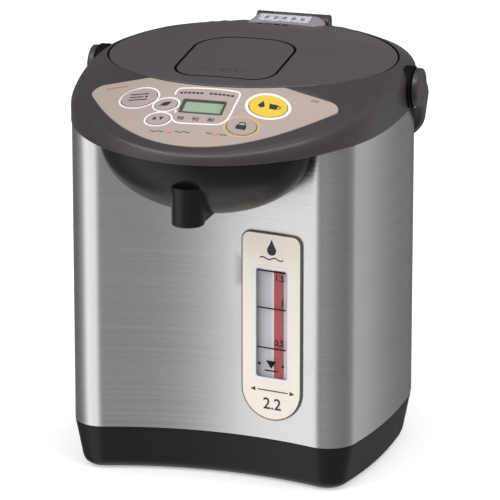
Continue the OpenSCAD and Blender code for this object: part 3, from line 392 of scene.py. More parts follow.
class Nodes:
    """The nodes of a new material, or of the world."""
    def __init__(self, name, world=None):
        self.mat = world or bpy.data.materials.new(name)
        self.mat.use_nodes = True
        self.tree = self.mat.node_tree
        self.bsdf = self.tree.nodes.get("Principled BSDF")

    def node(self, kind, **values):
        n = self.tree.nodes.new(kind)
        for key, value in values.items():
            if hasattr(n, key) and key not in n.inputs:
                setattr(n, key, value)
            else:
                n.inputs[key].default_value = value
        return n

    def link(self, a, b):
        self.tree.links.new(a, b)

    def coords(self, scale=(1, 1, 1)):
        tc = self.node("ShaderNodeTexCoord")
        mp = self.node("ShaderNodeMapping", Scale=scale)
        self.link(tc.outputs["Object"], mp.inputs["Vector"])
        return mp.outputs["Vector"]

    def noise(self, vector, scale, detail=3.0, rough=0.55):
        n = self.node("ShaderNodeTexNoise", Scale=scale, Detail=detail, Roughness=rough)
        self.link(vector, n.inputs["Vector"])
        return n.outputs["Fac"]

    def span(self, value, low, high, start=0.25, end=0.75):
        n = self.node("ShaderNodeMapRange", **{"From Min": start, "From Max": end, "To Min": low,
                                               "To Max": high})
        self.link(value, n.inputs["Value"])
        return n.outputs["Result"]

    def blend(self, fac, a, b):
        n = self.node("ShaderNodeMix", data_type="RGBA")
        self.link(fac, n.inputs["Factor"])
        for value, socket in ((a, n.inputs[6]), (b, n.inputs[7])):
            if isinstance(value, tuple):
                socket.default_value = value
            else:
                self.link(value, socket)
        return n.outputs[2]

    def bump(self, height, strength, distance):
        n = self.node("ShaderNodeBump", Strength=strength, Distance=distance)
        self.link(height, n.inputs["Height"])
        self.link(n.outputs["Normal"], self.bsdf.inputs["Normal"])

    def math(self, kind, *values):
        n = self.node("ShaderNodeMath", operation=kind)
        for value, socket in zip(values, n.inputs):
            if isinstance(value, float):
                socket.default_value = value
            else:
                self.link(value, socket)
        return n.outputs[0]

    def axes(self):
        """The sockets of the object's own X, Y and Z."""
        tc, sep = self.node("ShaderNodeTexCoord"), self.node("ShaderNodeSeparateXYZ")
        self.link(tc.outputs["Object"], sep.inputs[0])
        return sep.outputs

    def ramp(self, value, stops):
        """A ramp through (place, colour) stops, from place 0 to place 1."""
        n = self.node("ShaderNodeValToRGB")
        self.link(value, n.inputs[0])
        marks = n.color_ramp.elements
        for mark, (at, colour) in zip(marks, (stops[0], stops[-1])):
            mark.position, mark.color = at, colour
        for at, colour in stops[1:-1]:
            marks.new(at).color = colour
        return n.outputs[0]

    def direct_look(self):
        """1 for the camera, and for what is seen in gloss or through glass."""
        path = self.node("ShaderNodeLightPath").outputs
        gloss = self.math("MAXIMUM", path["Is Camera Ray"], path["Is Glossy Ray"])
        return self.math("MAXIMUM", gloss, path["Is Transmission Ray"])

    def show(self, output):
        self.link(output, self.tree.nodes["Material Output"].inputs[0])

    def paint(self, fac, a, b):
        self.link(self.blend(fac, a, b), self.bsdf.inputs["Base Color"])

    def polish(self, value, low, high):
        self.link(self.span(value, low, high), self.bsdf.inputs["Roughness"])

    def put(self, **values):
        for key, value in values.items():
            self.bsdf.inputs[key.replace("_", " ")].default_value = value


def shade(c, k):
    return tuple(min(1, x * k) for x in c[:3]) + (1.0,)


def surface(name, colour, vary, slow, marks, rough, **values):
    """One colour with slow shade changes and faint handling marks. Gives the nodes and their place."""
    m = Nodes(name)
    v, c = m.coords(), srgb(*colour)
    m.paint(m.span(m.noise(v, *slow), 0, 1), shade(c, 1 - vary[0]), shade(c, 1 + vary[1]))
    m.polish(m.noise(v, *marks), *rough)
    m.put(**values)
    return m, v


def plastic(name, colour, rough, grain, vary=0.07, spec=0.5):
    """Moulded plastic with a fine spark-eroded grain."""
    m, v = surface(name, colour, (vary, vary), (14, 3), (60, 4), (rough - 0.04, rough + 0.05),
                   Specular_IOR_Level=spec)
    m.bump(m.noise(v, 2600, 2, 0.6), grain, 0.00004)
    return m.mat


def steel(name, colour, rough, streak, vary, lines, aniso=0.0, turn=0.0):
    """Brushed sheet: long fine scratches along one way, over slow changes of polish."""
    m = Nodes(name)
    fine = m.noise(m.coords(streak), 1, 4, 0.6)
    wide = m.noise(m.coords((streak[0] / 2, streak[1] / 2, streak[2] / 12)), 1, 3)
    mix = m.math("MULTIPLY_ADD", fine, 0.6, m.math("MULTIPLY", wide, 0.4))
    m.paint(m.span(mix, 0, 1, 0.3, 0.7), shade(colour, 1 - vary), shade(colour, 1 + vary))
    m.polish(fine, rough - 0.05, rough + 0.06)
    m.put(Metallic=1.0)
    if aniso:
        m.put(Anisotropic=aniso, Anisotropic_Rotation=turn)
        t = m.node("ShaderNodeTangent", direction_type="RADIAL", axis="Z")
        m.link(t.outputs[0], m.bsdf.inputs["Tangent"])
    m.bump(fine, lines, 0.00002)
    return m.mat


def rubber_mat(name, colour):
    m, v = surface(name, colour, (0.2, 0.25), (30, 4), (120, 3), (0.62, 0.78), Specular_IOR_Level=0.35)
    m.bump(m.noise(v, 1500, 3, 0.7), 0.5, 0.00006)
    return m.mat


def clear_mat(name, colour, alpha, rough=0.06):
    return surface(name, colour, (0.05, 0.04), (40, 2), (90, 3), (rough, rough + 0.06), Alpha=alpha)[0].mat


def speckled(name, low, high, rough, metal):
    m = Nodes(name)
    v = m.coords()
    m.paint(m.span(m.noise(v, 900, 3, 0.8), 0, 1, 0.38, 0.62), srgb(*low), srgb(*high))
    m.polish(m.noise(v, 630, 2), rough - 0.08, rough + 0.1)
    m.put(Metallic=metal)
    m.bump(m.noise(v, 900, 2), 0.35, 0.00008)
    return m.mat


def backing_with_painted_light(name):
    """The plate behind the gauge: lilac grey, with painted light across it as on a round tube: a painted
    highlight beside the stripe and painted shade towards both edges.
    """
    m = Nodes(name)
    stops = [(0.0, 150, 148, 160), (0.3, 196, 194, 204), (0.42, 205, 203, 212), (0.5, 244, 241, 244),
             (0.86, 240, 228, 232), (0.97, 170, 158, 166), (1.0, 140, 132, 142)]
    across = m.span(m.axes()["X"], 0, 1, (GAUGE_X - 11.4) * MM, (GAUGE_X + 11.4) * MM)
    slow = m.span(m.noise(m.coords((1, 1, 6)), 60, 3), 0.0, 0.25)
    m.paint(slow, m.ramp(across, [(at, srgb(*colour)) for at, *colour in stops]), srgb(206, 202, 214))
    m.put(Roughness=0.4)
    m.bump(m.noise(m.coords(), 800, 2), 0.2, 0.00004)
    return m.mat


dark = plastic("dark_plastic", (60, 55, 58), 0.31, 0.35)
lid_dark = plastic("lid_plastic", (74, 69, 72), 0.38, 0.4)
beak_dark = plastic("beak_plastic", (21, 18, 19), 0.3, 0.25, spec=0.35)
base_dark = plastic("base_plastic", (25, 21, 22), 0.36, 0.3, spec=0.3)
deep_dark = plastic("inner_black", (30, 28, 29), 0.5, 0.4)
vent_dark = plastic("vent_plastic", (140, 136, 142), 0.38, 0.4)
# Painted shade: a near-black for the walls of the seams and slots, where the gaps lie in shadow, and for
# the hub bosses.
painted_shade_black = plastic("painted_shade_black", (12, 11, 12), 0.6, 0.2, spec=0.1)
panel_mat = plastic("panel_print", (174, 160, 152), 0.36, 0.25, 0.03, 0.4)
key_mat = plastic("key_membrane", (170, 156, 150), 0.42, 0.4, 0.04, 0.35)
yellow = plastic("yellow_key", (226, 194, 62), 0.34, 0.3, 0.03)
white = plastic("white_print", (243, 240, 238), 0.4, 0.15, 0.02)
ink = plastic("dark_print", (46, 40, 42), 0.45, 0.15, 0.1)
black_ink = plastic("black_print", (14, 12, 13), 0.5, 0.15, spec=0.2)
red_ink = plastic("red_print", (196, 92, 92), 0.45, 0.15, 0.08)
cream = plastic("gauge_cream", (248, 240, 229), 0.35, 0.2, 0.02, 0.4)
edge_grey = plastic("gauge_edge", (96, 90, 84), 0.35, 0.2, 0.08)
stripe = plastic("red_stripe", (178, 18, 26), 0.4, 0.2, 0.06)
green = plastic("board_green", (40, 110, 62), 0.4, 0.4, 0.12)
lamp = plastic("lamp_lens", (214, 150, 132), 0.2, 0.1, 0.05)
lcd_green = plastic("screen_green", (152, 172, 150), 0.3, 0.1, 0.06)
bezel = plastic("screen_bezel", (74, 78, 72), 0.35, 0.2, 0.08)
case_steel = steel("brushed_case", (0.75, 0.735, 0.725, 1), 0.27, (4, 4, 1000), 0.035, 0.05, 0.75, 0.25)
inner_steel = steel("spun_steel", (0.66, 0.66, 0.66, 1), 0.3, (6, 6, 700), 0.02, 0.06)
plate_steel = speckled("vent_plate", (150, 152, 158), (246, 247, 250), 0.45, 0.2)
black_rubber = rubber_mat("black_rubber", (40, 38, 39))
grip_rubber = rubber_mat("grip_rubber", (52, 47, 50))
pane = clear_mat("clear_pane", (235, 240, 244), 0.05)
tube_clear = clear_mat("sight_glass", (226, 228, 232), 0.1, 0.1)
hose = clear_mat("clear_hose", (214, 220, 222), 0.55, 0.2)
gauge_back_painted = backing_with_painted_light("gauge_backing")

# ---- CAD nodes that stay ----
kept = {
    deep_dark: "base_pan turntable lid_tray steam_valve cord_inlet thermistor display_module "
               "gauge_elbow pump_housing pump_impeller",
    inner_steel: "inner_vessel vessel_neck vessel_floor vacuum_jacket heater_plate heat_shield "
                 "inner_lid base_screws hinge_pin pivot_pins lever_pin latch_bolt inlet_pins pump_motor",
    dark: "mouth_well hinge_bracket",
    black_rubber: "feet mouth_seal lid_gasket",
    hose: "outlet_pipe delivery_hose suction_pipe",
    tube_clear: "sight_tube",
    stripe: "gauge_stripe",
    green: "control_board power_board",
    lamp: "indicator_lamps",
}
for material, names in kept.items():
    for name in names.split():
        me = nodes[name].data
        me.materials.clear()
        me.materials.append(material)


# ---- steel case ----
def case_skin():
    line = case_line(0.0)
    k = min(range(len(line)), key=lambda i: line[i][0])
    line = line[k:] + line[:k]
    line.append(line[0])
    run = [0.0]
    for a, b in zip(line, line[1:]):
        run.append(run[-1] + dist(a, b))

    def wrap(u, z, h):
        i = min(max(bisect_right(run, u) - 1, 0), len(run) - 2)
        t = (u - run[i]) / (run[i + 1] - run[i])
        (x0, y0), (x1, y1) = line[i], line[i + 1]
        return (x0 + t * (x1 - x0), y0 + t * (y1 - y0), z)
    ahead = [(p[0], u) for p, u in zip(line, run) if p[1] < -90 and abs(p[0]) < 67]
    behind = [(p[0], u) for p, u in zip(line, run) if p[1] > 60]

    def along(x, table):
        return float(np.interp(x, *zip(*sorted(table))))
    low, high, slot_z = BASE_H + 0.15, CASE_TOP, 204.0
    levels = [low + (high - low) * i / 8 for i in range(1, 8)]
    a, b = along(-16, ahead), along(16, ahead)
    outer = [(u, low) for u in run] + [(run[-1], z) for z in levels]
    outer += [(u, high) for u in reversed(run) if u > b] + [(b, high), (b, slot_z), (a, slot_z), (a, high)]
    outer += [(u, high) for u in reversed(run) if u < a] + [(0.0, z) for z in reversed(levels)]
    hole = pad(WINDOW_W + 4.6, WINDOW_TALL + 4.6, 5.3, WINDOW_MID)
    window = [(along(x, ahead), z) for x, z in hole]
    inlet = [(along(x, behind), z) for x, z in pad(40.3, 24.3, 4, (0, 50))][::-1]
    s = Shape(wrap)
    loops = [s.ring(l, 0) for l in (outer, window, inlet)]
    s.cap(loops, 0, 1.2, extra=[(u, z) for u in run for z in levels])
    make("case_skin", s, [case_steel], "pot", "brushed_steel", ["outer_case"], solid=1.0, sheet=True)


case_skin()


# ---- base ----
def base():
    prof = [(1.0, 9.6), (1.05, 9.05), (1.4, 8.6), (2.0, 7.5), (3.0, 6.2), (4.0, 5.5), (5.5, 4.85),
            (7.5, 4.35), (10, 3.95), (14, 3.1), (18, 2.38), (21.5, 1.7), (25, 1.02), (27.5, 0.5),
            (28.9, 0.25), (29.6, 0.25), (29.9, 0.45), (30.0, 0.8), (30.0, 1.3), (33.0, 1.3),
            (33.0, 3.3), (27.0, 4.5), (12.0, 11.5), (1.0, 11.5)]
    s = Shape()
    rings = [s.ring(case_line(-d), h) for h, d in prof]
    s.skin(rings + rings[:1])
    make("base_skirt", s, [base_dark], "pot", "black_plastic", ["base_shell"], sharp=50)


base()


# ---- collar ----
def collar():
    s = Shape()
    zero = collar_line(0.0)
    span = [(b[0] - a[0], b[1] - a[1]) for a, b in zip(zero, collar_line(1.0))]

    def rim(x, y):
        t = (y + REACH) / (REACH - RIM_END)
        return NOSE_RIM + (CASE_TOP - NOSE_RIM) * min(1.0, max(0.0, t))
    soft = [min(5.5, 0.62 * (cone_z(*p) - rim(*p))) for p in zero]

    def ring(depth, height):
        """depth and height are functions of a corner's own softness."""
        line = [(p[0] - n[0] * depth(r), p[1] - n[1] * depth(r)) for p, n, r in zip(zero, span, soft)]
        return s.points([(x, y, height(x, y, r)) for (x, y), r in zip(line, soft)])
    rings = [ring(lambda r: r + 0.5, lambda x, y, r: cone_z(x, y))]
    for t in (pi / 2 * i / 9 for i in range(10)):
        rings.append(ring(lambda r: r * (1 - sin(t)), lambda x, y, r: cone_z(x, y) - r * (1 - cos(t))))
    low, under = 1.0, COLLAR_T * sqrt(1 + SLOPE * SLOPE)

    def belly(x, y, r):
        return rim(x, y) + low + 0.45 * max(0, cone_z(x, y) - r - rim(x, y) - low)
    rings.append(ring(lambda r: 0, belly))
    for t in (pi / 2 * i / 4 for i in range(5)):
        rings.append(ring(lambda r: low * (1 - cos(t)), lambda x, y, r: rim(x, y) + low * (1 - sin(t))))
    rings += [ring(lambda r: COLLAR_T, lambda x, y, r: rim(x, y)),
              ring(lambda r: COLLAR_T, lambda x, y, r: max(cone_z(x, y) - under - 2.0, rim(x, y) + 0.4)),
              ring(lambda r: COLLAR_T + 2, lambda x, y, r: cone_z(x, y) - under)]
    s.skin(rings)
    # The mouth and the hinge pocket are one opening.
    px, back = 24.6, HINGE_Y + 6.6
    mouth = [p for p in oval(LID_RX + SEAM, LID_RY + SEAM, LID_C, 240) if not (abs(p[0]) < px and p[1] > 0)]
    k = min(range(len(mouth)), key=lambda i: (mouth[i][1] < 40, abs(mouth[i][0] + px)))
    mouth = mouth[k:] + mouth[:k]
    edge_y = LID_C[1] + (LID_RY + SEAM) * sqrt(1 - (px / (LID_RX + SEAM)) ** 2)
    mouth += [(px, edge_y), (px, edge_y + 5), (px, back - 5)] + arc((px - 1.5, back - 1.5), 1.5, 0, 90)
    mouth += [(px - 6, back), (0, back), (6 - px, back)] + arc((1.5 - px, back - 1.5), 1.5, 90, 180)
    mouth += [(-px, back - 5), (-px, edge_y + 5), (-px, edge_y)]

    def foot(u, v):
        return 240.0 if v > edge_y - 0.5 and abs(u) < px + 3 else LIP_Z
    holes = [
        # The mouth's wall is painted near-black below its rounding, for the shade in the seam round the
        # lid.
        (mouth, painted_shade_foot(rounded(0.6, cone_z), 3, 1)
         + [(0, foot, 1), (2.0, foot, 1), (2.0, lower(cone_z, under))]),
        (panel_line(0.25), rounded(0.35, cone_z) + [(0, lower(cone_z, 1.5)), (0, lower(cone_z, under))]),
    ]
    inner = [s.wall(hl, hr, -1) for hl, hr in holes]
    s.cap([rings[0]] + [i[0] for i in inner], cone_z, 5.0)
    s.cap([rings[-1]] + [i[1] for i in inner], lower(cone_z, under), 9.0)
    s.slab([(-px - 1, 77), (px + 1, 77), (px + 1, back + 1), (-px - 1, back + 1)], 238, 240)
    # The bosses round the handle's hubs are in the near-black: dark plastic, and painted shade of the
    # recess round each hub.
    hubs(s, [(98.2, 13.5), (103.2, 13.5), (103.7, 13.38), (104.05, 13.1), (104.3, 12.6), (104.4, 12.0),
             (104.4, 5.0), (98.2, 5.0)], mat=1, start=False, end=False)
    make("collar_body", s, [dark, painted_shade_black], "pot", "dark_plastic", ["collar"], sharp=40)


collar()


# ---- control panel ----
KEYS = {  # name: place, half sizes
    "course_key": ((-43.3, -104.9), (11.7, 9.5)),
    "save_key": ((-23.5, -112.9), (7.2, 5.8)),
    "temperature_key": ((-24.4, -126.4), (7.4, 5.7)),
    "dispense_key": ((39.1, -104.8), (11.8, 10.5)),
    "unlock_key": ((28.8, -126.9), (9.2, 8.2)),
}
LCD = (0.0, -113.5)


def plan(at, line):
    """A flat outline on the slope at a point, seen from above."""
    place = tilt(at)
    return [place(u, v, 0)[:2] for u, v in line]


def panel():
    s = Shape()
    top, under = lower(cone_z, -0.4), lower(cone_z, 1.15)
    down = [(0, under)]
    holes = [(plan(p, oval(a + 0.3, b + 0.3, n=72)), rounded(0.25, top, 3) + down)
             for p, (a, b) in KEYS.values()]
    holes.append((plan(LCD, pad(28, 14, 1.5)), rounded(0.2, top, 2) + down))
    holes += [(plan(p, oval(1.45, 1.45, n=24)), [(0, top)] + down)
              for p in ((-13.5, -137.5), (14.9, -136.4))]
    s.plate(panel_line(0.0), 0.4, 3, top, under, 4.0, holes)
    make("panel_face", s, [panel_mat], "pot", "panel_plastic", ["control_panel"])


panel()


def stroke(p, w):
    """The outline of a line of even width."""
    left, right = [], []
    for i, q in enumerate(p):
        a, b = p[max(i - 1, 0)], p[min(i + 1, len(p) - 1)]
        k = w / 2 / dist(a, b)
        x, y = (a[1] - b[1]) * k, (b[0] - a[0]) * k
        left.append((q[0] + x, q[1] + y))
        right.append((q[0] - x, q[1] - y))
    return right + left[::-1]


def bar(x, y, w, h):
    return [(x, y), (x + w, y), (x + w, y + h), (x, y + h)]


def wave(x, y, l, up=0.45, w=0.5):
    return stroke([(x + l * i / 16, y + up * sin(2 * pi * i / 8)) for i in range(17)], w)


def drop(x, y, r):
    """A water drop with its point up."""
    point = [(x + r * 0.42, y + r * 1.35), (x, y + r * 2.3), (x - r * 0.42, y + r * 1.35)]
    return arc((x, y), r, -210, 30) + point


def prints(name, place, outlines, mat, body, slot, high=0.06):
    """Thin printed marks. An outline with a hole is a pair."""
    s = Shape(place)
    for o in outlines:
        line, holes = (o[0], [o[1]]) if isinstance(o, tuple) else (o, ())
        s.slab(line, -0.1, high, holes, 2.5)
    make(name, s, [mat], body, slot)


def panel_print(name, outlines, mat, high=0.06):
    prints(name, on_panel, outlines, mat, "pot", "panel_plastic", high)


def symbols():
    """Plain marks in the keys' own planes: a list, a leaf, warmer and cooler, cup and drop, padlock."""
    cup = [(1.2, -2.6), (5.4, -2.6), (6.3, 2.2), (0.3, 2.2)]
    handle = stroke([(6.0, 1.3), (7.3, 1.2), (7.6, 0.0), (7.0, -1.2), (5.7, -1.4)], 0.7)
    lock = pad(6.4, 4.2, 0.6, (0, -1.4))
    shackle = stroke([(1.9, 0.6), (1.9, 2.0), (1.3, 3.2), (0, 3.6), (-1.3, 3.2), (-1.9, 2.0),
                      (-1.9, 1.4)], 0.8)
    leaf = [(-2.9, -1.6), (-0.9, -2.3), (1.3, -1.7), (2.6, 0.0), (3.2, 2.2), (0.6, 1.9), (-1.6, 1.1),
            (-2.7, -0.1)]
    return {
        "course_key": [bar(-6.0, 2.4, 12.0, 1.0), bar(-6.0, -0.5, 9.0, 1.0), bar(-6.0, -3.4, 12.0, 1.0),
                       oval(0.9, 0.9, (5.0, 0.0), 16)],
        "save_key": [leaf, stroke([(-4.0, -2.6), (-2.4, -1.4)], 0.5)],
        "temperature_key": [[(-3.6, -1.4), (-0.6, -1.4), (-2.1, 2.0)],
                            [(0.6, 1.4), (2.1, -2.0), (3.6, 1.4)]],
        "dispense_key": [cup, handle, drop(-4.0, -1.0, 2.0)],
        "unlock_key": [lock, shackle],
    }


def keys():
    marks = symbols()
    for name, (p, (a, b)) in KEYS.items():
        s = Shape(tilt(p))

        def crown(u, v, a=a, b=b):
            return 1.0 + 0.18 * (1 - (u / a) ** 2 - (v / b) ** 2)
        s.body(oval(a, b, n=72), rounded(0.45, crown) + [(0, -2.4), (-1.0, -2.4), (-1.0, -3.2)], top=crown,
               under=-3.2, step=2.0)
        s.lathe([(-3.2, 2.0), (-4.6, 2.0)], 32, start=False)
        bright = name == "dispense_key"
        make(name + "_cap", s, [yellow if bright else key_mat], name,
             "yellow_plastic" if bright else "panel_plastic", [name])

        def on_crown(u, v, h, at=tilt(p), crown=crown):
            return at(u, v, crown(u, v) + h)
        prints(name + "_mark", on_crown, marks[name], ink, name, "panel_plastic")
        if name != "unlock_key":
            line, gap, w = oval(a, b, n=96), 0.55, 1.9 if bright else 1.15
            ring = plan(p, inset(line, -gap - w)), plan(p, inset(line, -gap))
            panel_print(name + "_ring", [ring], white)
    p, (a, b) = KEYS["unlock_key"]
    dots = [plan(p, oval(0.62, 0.62, c, 12)) for c in oval(a + 1.5, b + 1.5, n=34)]
    prints("unlock_ring", on_panel, dots, yellow, "pot", "yellow_plastic")


keys()


def screen():
    s = Shape(tilt(LCD))
    well = (pad(25.0, 11.4, 0.5), rounded(0.2, 0.32, 2) + [(-0.5, -0.9)], 1)
    s.plate(pad(27.6, 13.6, 1.3), 0.3, 3, 0.32, -1.2, 0, wells=[well])
    make("screen_unit", s, [bezel, lcd_green], "pot", "clear", ["display_window"])
    border = [(-20.6, -103.6), (-20.9, -101.5), (-20.4, -99.2), (-19.5, -98.2), (-18.0, -97.4),
              (16.5, -97.0), (19.2, -98.0), (20.0, -100.5), (19.4, -108.0), (19.2, -118.0),
              (18.4, -123.5), (16.0, -127.3), (12.0, -129.0), (-8.5, -130.0), (-13.0, -129.0),
              (-15.4, -126.5)]
    left = [(-15.2, -120.5), (-15.6, -118.2)]

    def smooth(pts):
        for _ in range(3):
            cuts = [(a[0] * (1 - k) + b[0] * k, a[1] * (1 - k) + b[1] * k)
                    for a, b in zip(pts, pts[1:]) for k in (0.25, 0.75)]
            pts = [pts[0]] + cuts + [pts[-1]]
        return pts
    panel_print("screen_frame", [stroke(smooth(border), 1.05), stroke(smooth(left), 1.05)], white, 0.07)
    marks = [bar(-18.0 + 2.6 * k, -102.6, 1.9, 1.5) for k in range(6)]
    marks += [bar(1.0 + 2.7 * k, -102.4, 2.0, 1.5) for k in range(6)]
    marks += [wave(x, y, l) for x, y, l in ((-26.5, -137.6, 9.0), (-10.6, -137.6, 10.0),
                                            (17.4, -136.6, 5.0), (9.2, -136.6, 3.4))]
    marks += [stroke(ends, 0.5) for ends in (((62.0, -89.4), (62.4, -87.6)), ((63.6, -89.4), (64.2, -87.0)),
                                             ((65.2, -89.2), (66.2, -86.6)))]
    panel_print("panel_marks", marks, ink)
    dashes = [bar(-69.0 + 2.9 * k, -90.6 - 0.25 * k, 2.0, 1.3) for k in range(5)]
    panel_print("panel_red_marks", dashes, red_ink)


screen()


def words(name, items, place, mat, body, slot):
    """Plain numbers. Each item is the text, its height and its middle."""
    s = Shape(place)
    for text, size, at in items:
        curve = bpy.data.curves.new("number", "FONT")
        curve.body, curve.size, curve.align_x, curve.align_y = text, size, "CENTER", "CENTER"
        curve.resolution_u, curve.offset = 3, size * 0.012
        ob = add_object("number", curve)
        me = bpy.data.meshes.new_from_object(ob.evaluated_get(bpy.context.evaluated_depsgraph_get()))
        ids = s.ring([(at[0] + v.co.x, at[1] + v.co.y) for v in me.vertices], 0.06)
        for poly in me.polygons:
            s.face([ids[k] for k in poly.vertices])
        bpy.data.objects.remove(ob)
        bpy.data.curves.remove(curve)
        bpy.data.meshes.remove(me)
    make(name, s, [mat], body, slot, solid=0.1)


words("panel_numbers", [("98", 4.3, (-10.6, -125.4)), ("90", 4.3, (-1.0, -125.5)),
                        ("80", 4.3, (8.8, -125.1))], on_panel, ink, "pot", "panel_plastic")


# ---- lid ----
def lid():
    s = Shape()
    inner = lower(dome_z, 2.5)
    # The outer edge's last rings and the side below are painted near-black for the shade in the seam; so
    # are the walls of the lever's opening and of the slots.
    rings = painted_shade_foot(rounded(1.3, dome_z, 6), 5, 2)
    rings += [(0, LID_LOW + 1.2, 2), (0, LID_LOW + 0.3, 2), (0.1, LID_LOW + 0.08), (0.35, LID_LOW),
              (2.5, LID_LOW), (2.5, lower(dome_z, 4.0)), (3.2, inner)]
    hole = (lever_line(SEAM), rounded(0.6, dome_z, 4, 2) + [(0, inner, 2)])
    down = rounded(0.3, dome_z, 2, 2) + [(0, lower(dome_z, 1.8), 2)]
    slots = [(pad(3.4, 4.0, 0.8, (x + 1.7, 50)), down, 1) for x in (-13.5, -7.9, -2.3, 3.3)]
    s.body(lid_line, rings, [hole], slots, dome_z, inner, 5.0)
    # Knuckle of the hinge.
    s.place = x_axis(HINGE_Y, HINGE_Z)
    half = [(13.5, 5.0), (13.9, 4.8), (14.1, 4.4), (14.1, 2.1)]
    s.lathe([(-h, r) for h, r in reversed(half)] + half, 48, start=False, end=False)
    s.place = flat
    s.plate(bar(-14.1, 79, 28.2, 8), 0.5, 2, LID_LOW + 8, LID_LOW + 3.5, 0)
    make("lid_dome", s, [lid_dark, deep_dark, painted_shade_black], "lid", "dark_plastic", ["lid_shell"])


lid()


VENT_Y, VENT_Z = (57.0, 72.5, 74.5, 78.5), 260.2
VENT_FOOT = dome_z(0, VENT_Y[0]) - 0.3
VENT_SLOPE = (VENT_Z - VENT_FOOT) / (VENT_Y[1] - VENT_Y[0])
PLATE = (0.0, VENT_Y[0] + 9.7 * cos(atan(VENT_SLOPE)))


def on_vent(u, v, h):
    """The sloping roof of the steam housing, v mm back from its front edge."""
    t = atan(VENT_SLOPE)
    return (u, VENT_Y[0] + v * cos(t) - h * sin(t), VENT_FOOT + v * sin(t) + h * cos(t))


def vent_roof(u, v):
    planes = (VENT_FOOT + (v - VENT_Y[0]) * VENT_SLOPE, VENT_Z, VENT_Z - (v - VENT_Y[2]) * 0.75,
              LID_LOW + 8 + (26.0 - abs(u)) * 0.9)
    low, k = min(planes), 0.45
    return max(low - k * np.log(sum(np.exp((low - q) / k) for q in planes)), dome_z(u, v) - 0.5)


def vent():
    s = Shape()
    y = VENT_Y[3]
    right = [(0, 54.0), (20.0, 54.0)] + arc((22.0, 57.0), 3.0, -60, 0) + [(25.0, 57.0), (25.0, 74.5)]
    rx, ry = LID_RX - 1.2, LID_RY - 1.2
    right += [(x, min(y, LID_C[1] + ry * sqrt(1 - (x / rx) ** 2))) for x in (24.0, 20.0, 16.0)]
    well = (pad(34.6, 10.5, 0.9, PLATE), rounded(0.2, vent_roof, 2) + [(0, lower(vent_roof, 0.6))])
    s.body(both(right + [(0, y)]), [(0, vent_roof), (0, lower(dome_z, 1.2))], wells=[well],
           top=vent_roof, step=1.3)
    make("steam_housing", s, [vent_dark, deep_dark], "lid", "dark_plastic")
    s = Shape(on_vent)
    grille = [(pad(3.0, 5.6, 1.2, (x + 1.5, 9.7)), rounded(0.2, 0.2, 2) + [(0, -0.55)])
              for x in (-13.5, -7.5, -1.5, 4.5, 10.5)]
    s.plate(pad(34.1, 10.1, 0.7, (0, 9.7)), 0.2, 3, 0.2, -0.55, 3.0, grille)
    make("vent_plate_piece", s, [plate_steel], "lid", "brushed_steel", ["steam_vent"])


vent()


def lever():
    s = Shape()
    under = lower(dome_z, 3.0)
    # The lever's edge is painted near-black from its fourth ring down, for the shade in the gap round it.
    s.body(lever_line(0.0), painted_shade_foot(rounded(0.8, dome_z, 5), 3, 1) + [(0, under, 1)], top=dome_z,
           under=under, step=4.0)
    pin_z = dome_z(0, -52) - 6.5
    for x in (25.5, -25.5):
        s.place = x_axis(-52, pin_z)
        s.lathe([(x - 2.5, 3.2), (x + 2.5, 3.2)], 32)
        s.place = flat
        s.slab(bar(x - 2.5, -55.2, 5.0, 6.4), pin_z, dome_z(x, -52) - 2.0, step=0)
    make("lever_plate", s, [lid_dark, painted_shade_black], "lever", "dark_plastic", ["latch_lever"])
    marks = [stroke([(-3.5, -66.6), (0.0, -69.4), (3.5, -66.6)], 1.0)]
    marks += [oval(0.9, 0.9, (x, -67.6), 20) for x in (-12.0, -7.5, 7.5, 12.0)]
    s = Shape(lambda u, v, h: (u, v, dome_z(u, v) + h))
    for m in marks:
        s.plate(m, 0.2, 3, 0.32, -0.3, 1.5)
    make("lever_emboss", s, [dark], "lever", "dark_plastic")


lever()


# ---- beak ----
def chin():
    n, m, off = 26, 72, 0.08
    s = Shape()

    def at(i, j, t):
        r, a = sin(pi / 2 * i / n), pi * j / m
        x = (CHIN_W - t) * r * cos(a)
        y = -face(x) - off - (CHIN_D - t) * cos(pi / 2 * i / n)
        return (x, y, CASE_TOP - 1 - (CHIN_H - t) * r * sin(a))
    layers = []
    for t in (0.0, 2.2):
        first, = s.points([at(0, 0, t)])
        rows = [s.points([at(i, j, t) for j in range(m + 1)]) for i in range(1, n + 1)]
        for j in range(m):
            s.face((first, rows[0][j], rows[0][j + 1]))
        s.skin(rows, closed=False)
        layers.append((first, rows))
    (f0, out), (f1, inn) = layers
    s.strip(out[-1], inn[-1], closed=False)
    for k in (0, m):
        s.strip([f0] + [r[k] for r in out], [f1] + [r[k] for r in inn], closed=False)
    make("beak_chin", s, [beak_dark], "pot", "dark_plastic", ["chin"])


chin()


def nozzle():
    s = Shape()
    w, back = 9.0, 116.0
    a = degrees(acos(w / NOZZLE_R))
    line = arc((0, -NOZZLE_Y), NOZZLE_R, -180 - a, a) + [(w, -NOZZLE_Y + NOZZLE_R * sin(radians(a)))]
    line += [(w, -NOZZLE_Y + 12)] + arc((w - 1.5, -back - 1.5), 1.5, 0, 90)
    line += [(0, -back)] + arc((1.5 - w, -back - 1.5), 1.5, 90, 180)
    line += [(-w, -back - 1.5), (-w, -NOZZLE_Y + 12)]
    down = [(d, 2 * NOZZLE_Z - h) for d, h, _ in rounded(1.3, NOZZLE_Z, 5)]
    bore = [(d, 2 * NOZZLE_Z - h) for d, h, _ in rounded(0.8, NOZZLE_Z, 3)]
    s.body(line, down + [(0, 204.0)], wells=[(oval(6, 6, (0, -NOZZLE_Y), 64), bore + [(0, 195.0)], 1)],
           top=NOZZLE_Z, under=204.0, step=4.0)
    make("nozzle_block", s, [beak_dark, deep_dark], "pot", "black_plastic", ["nozzle", "nozzle_web"])


nozzle()


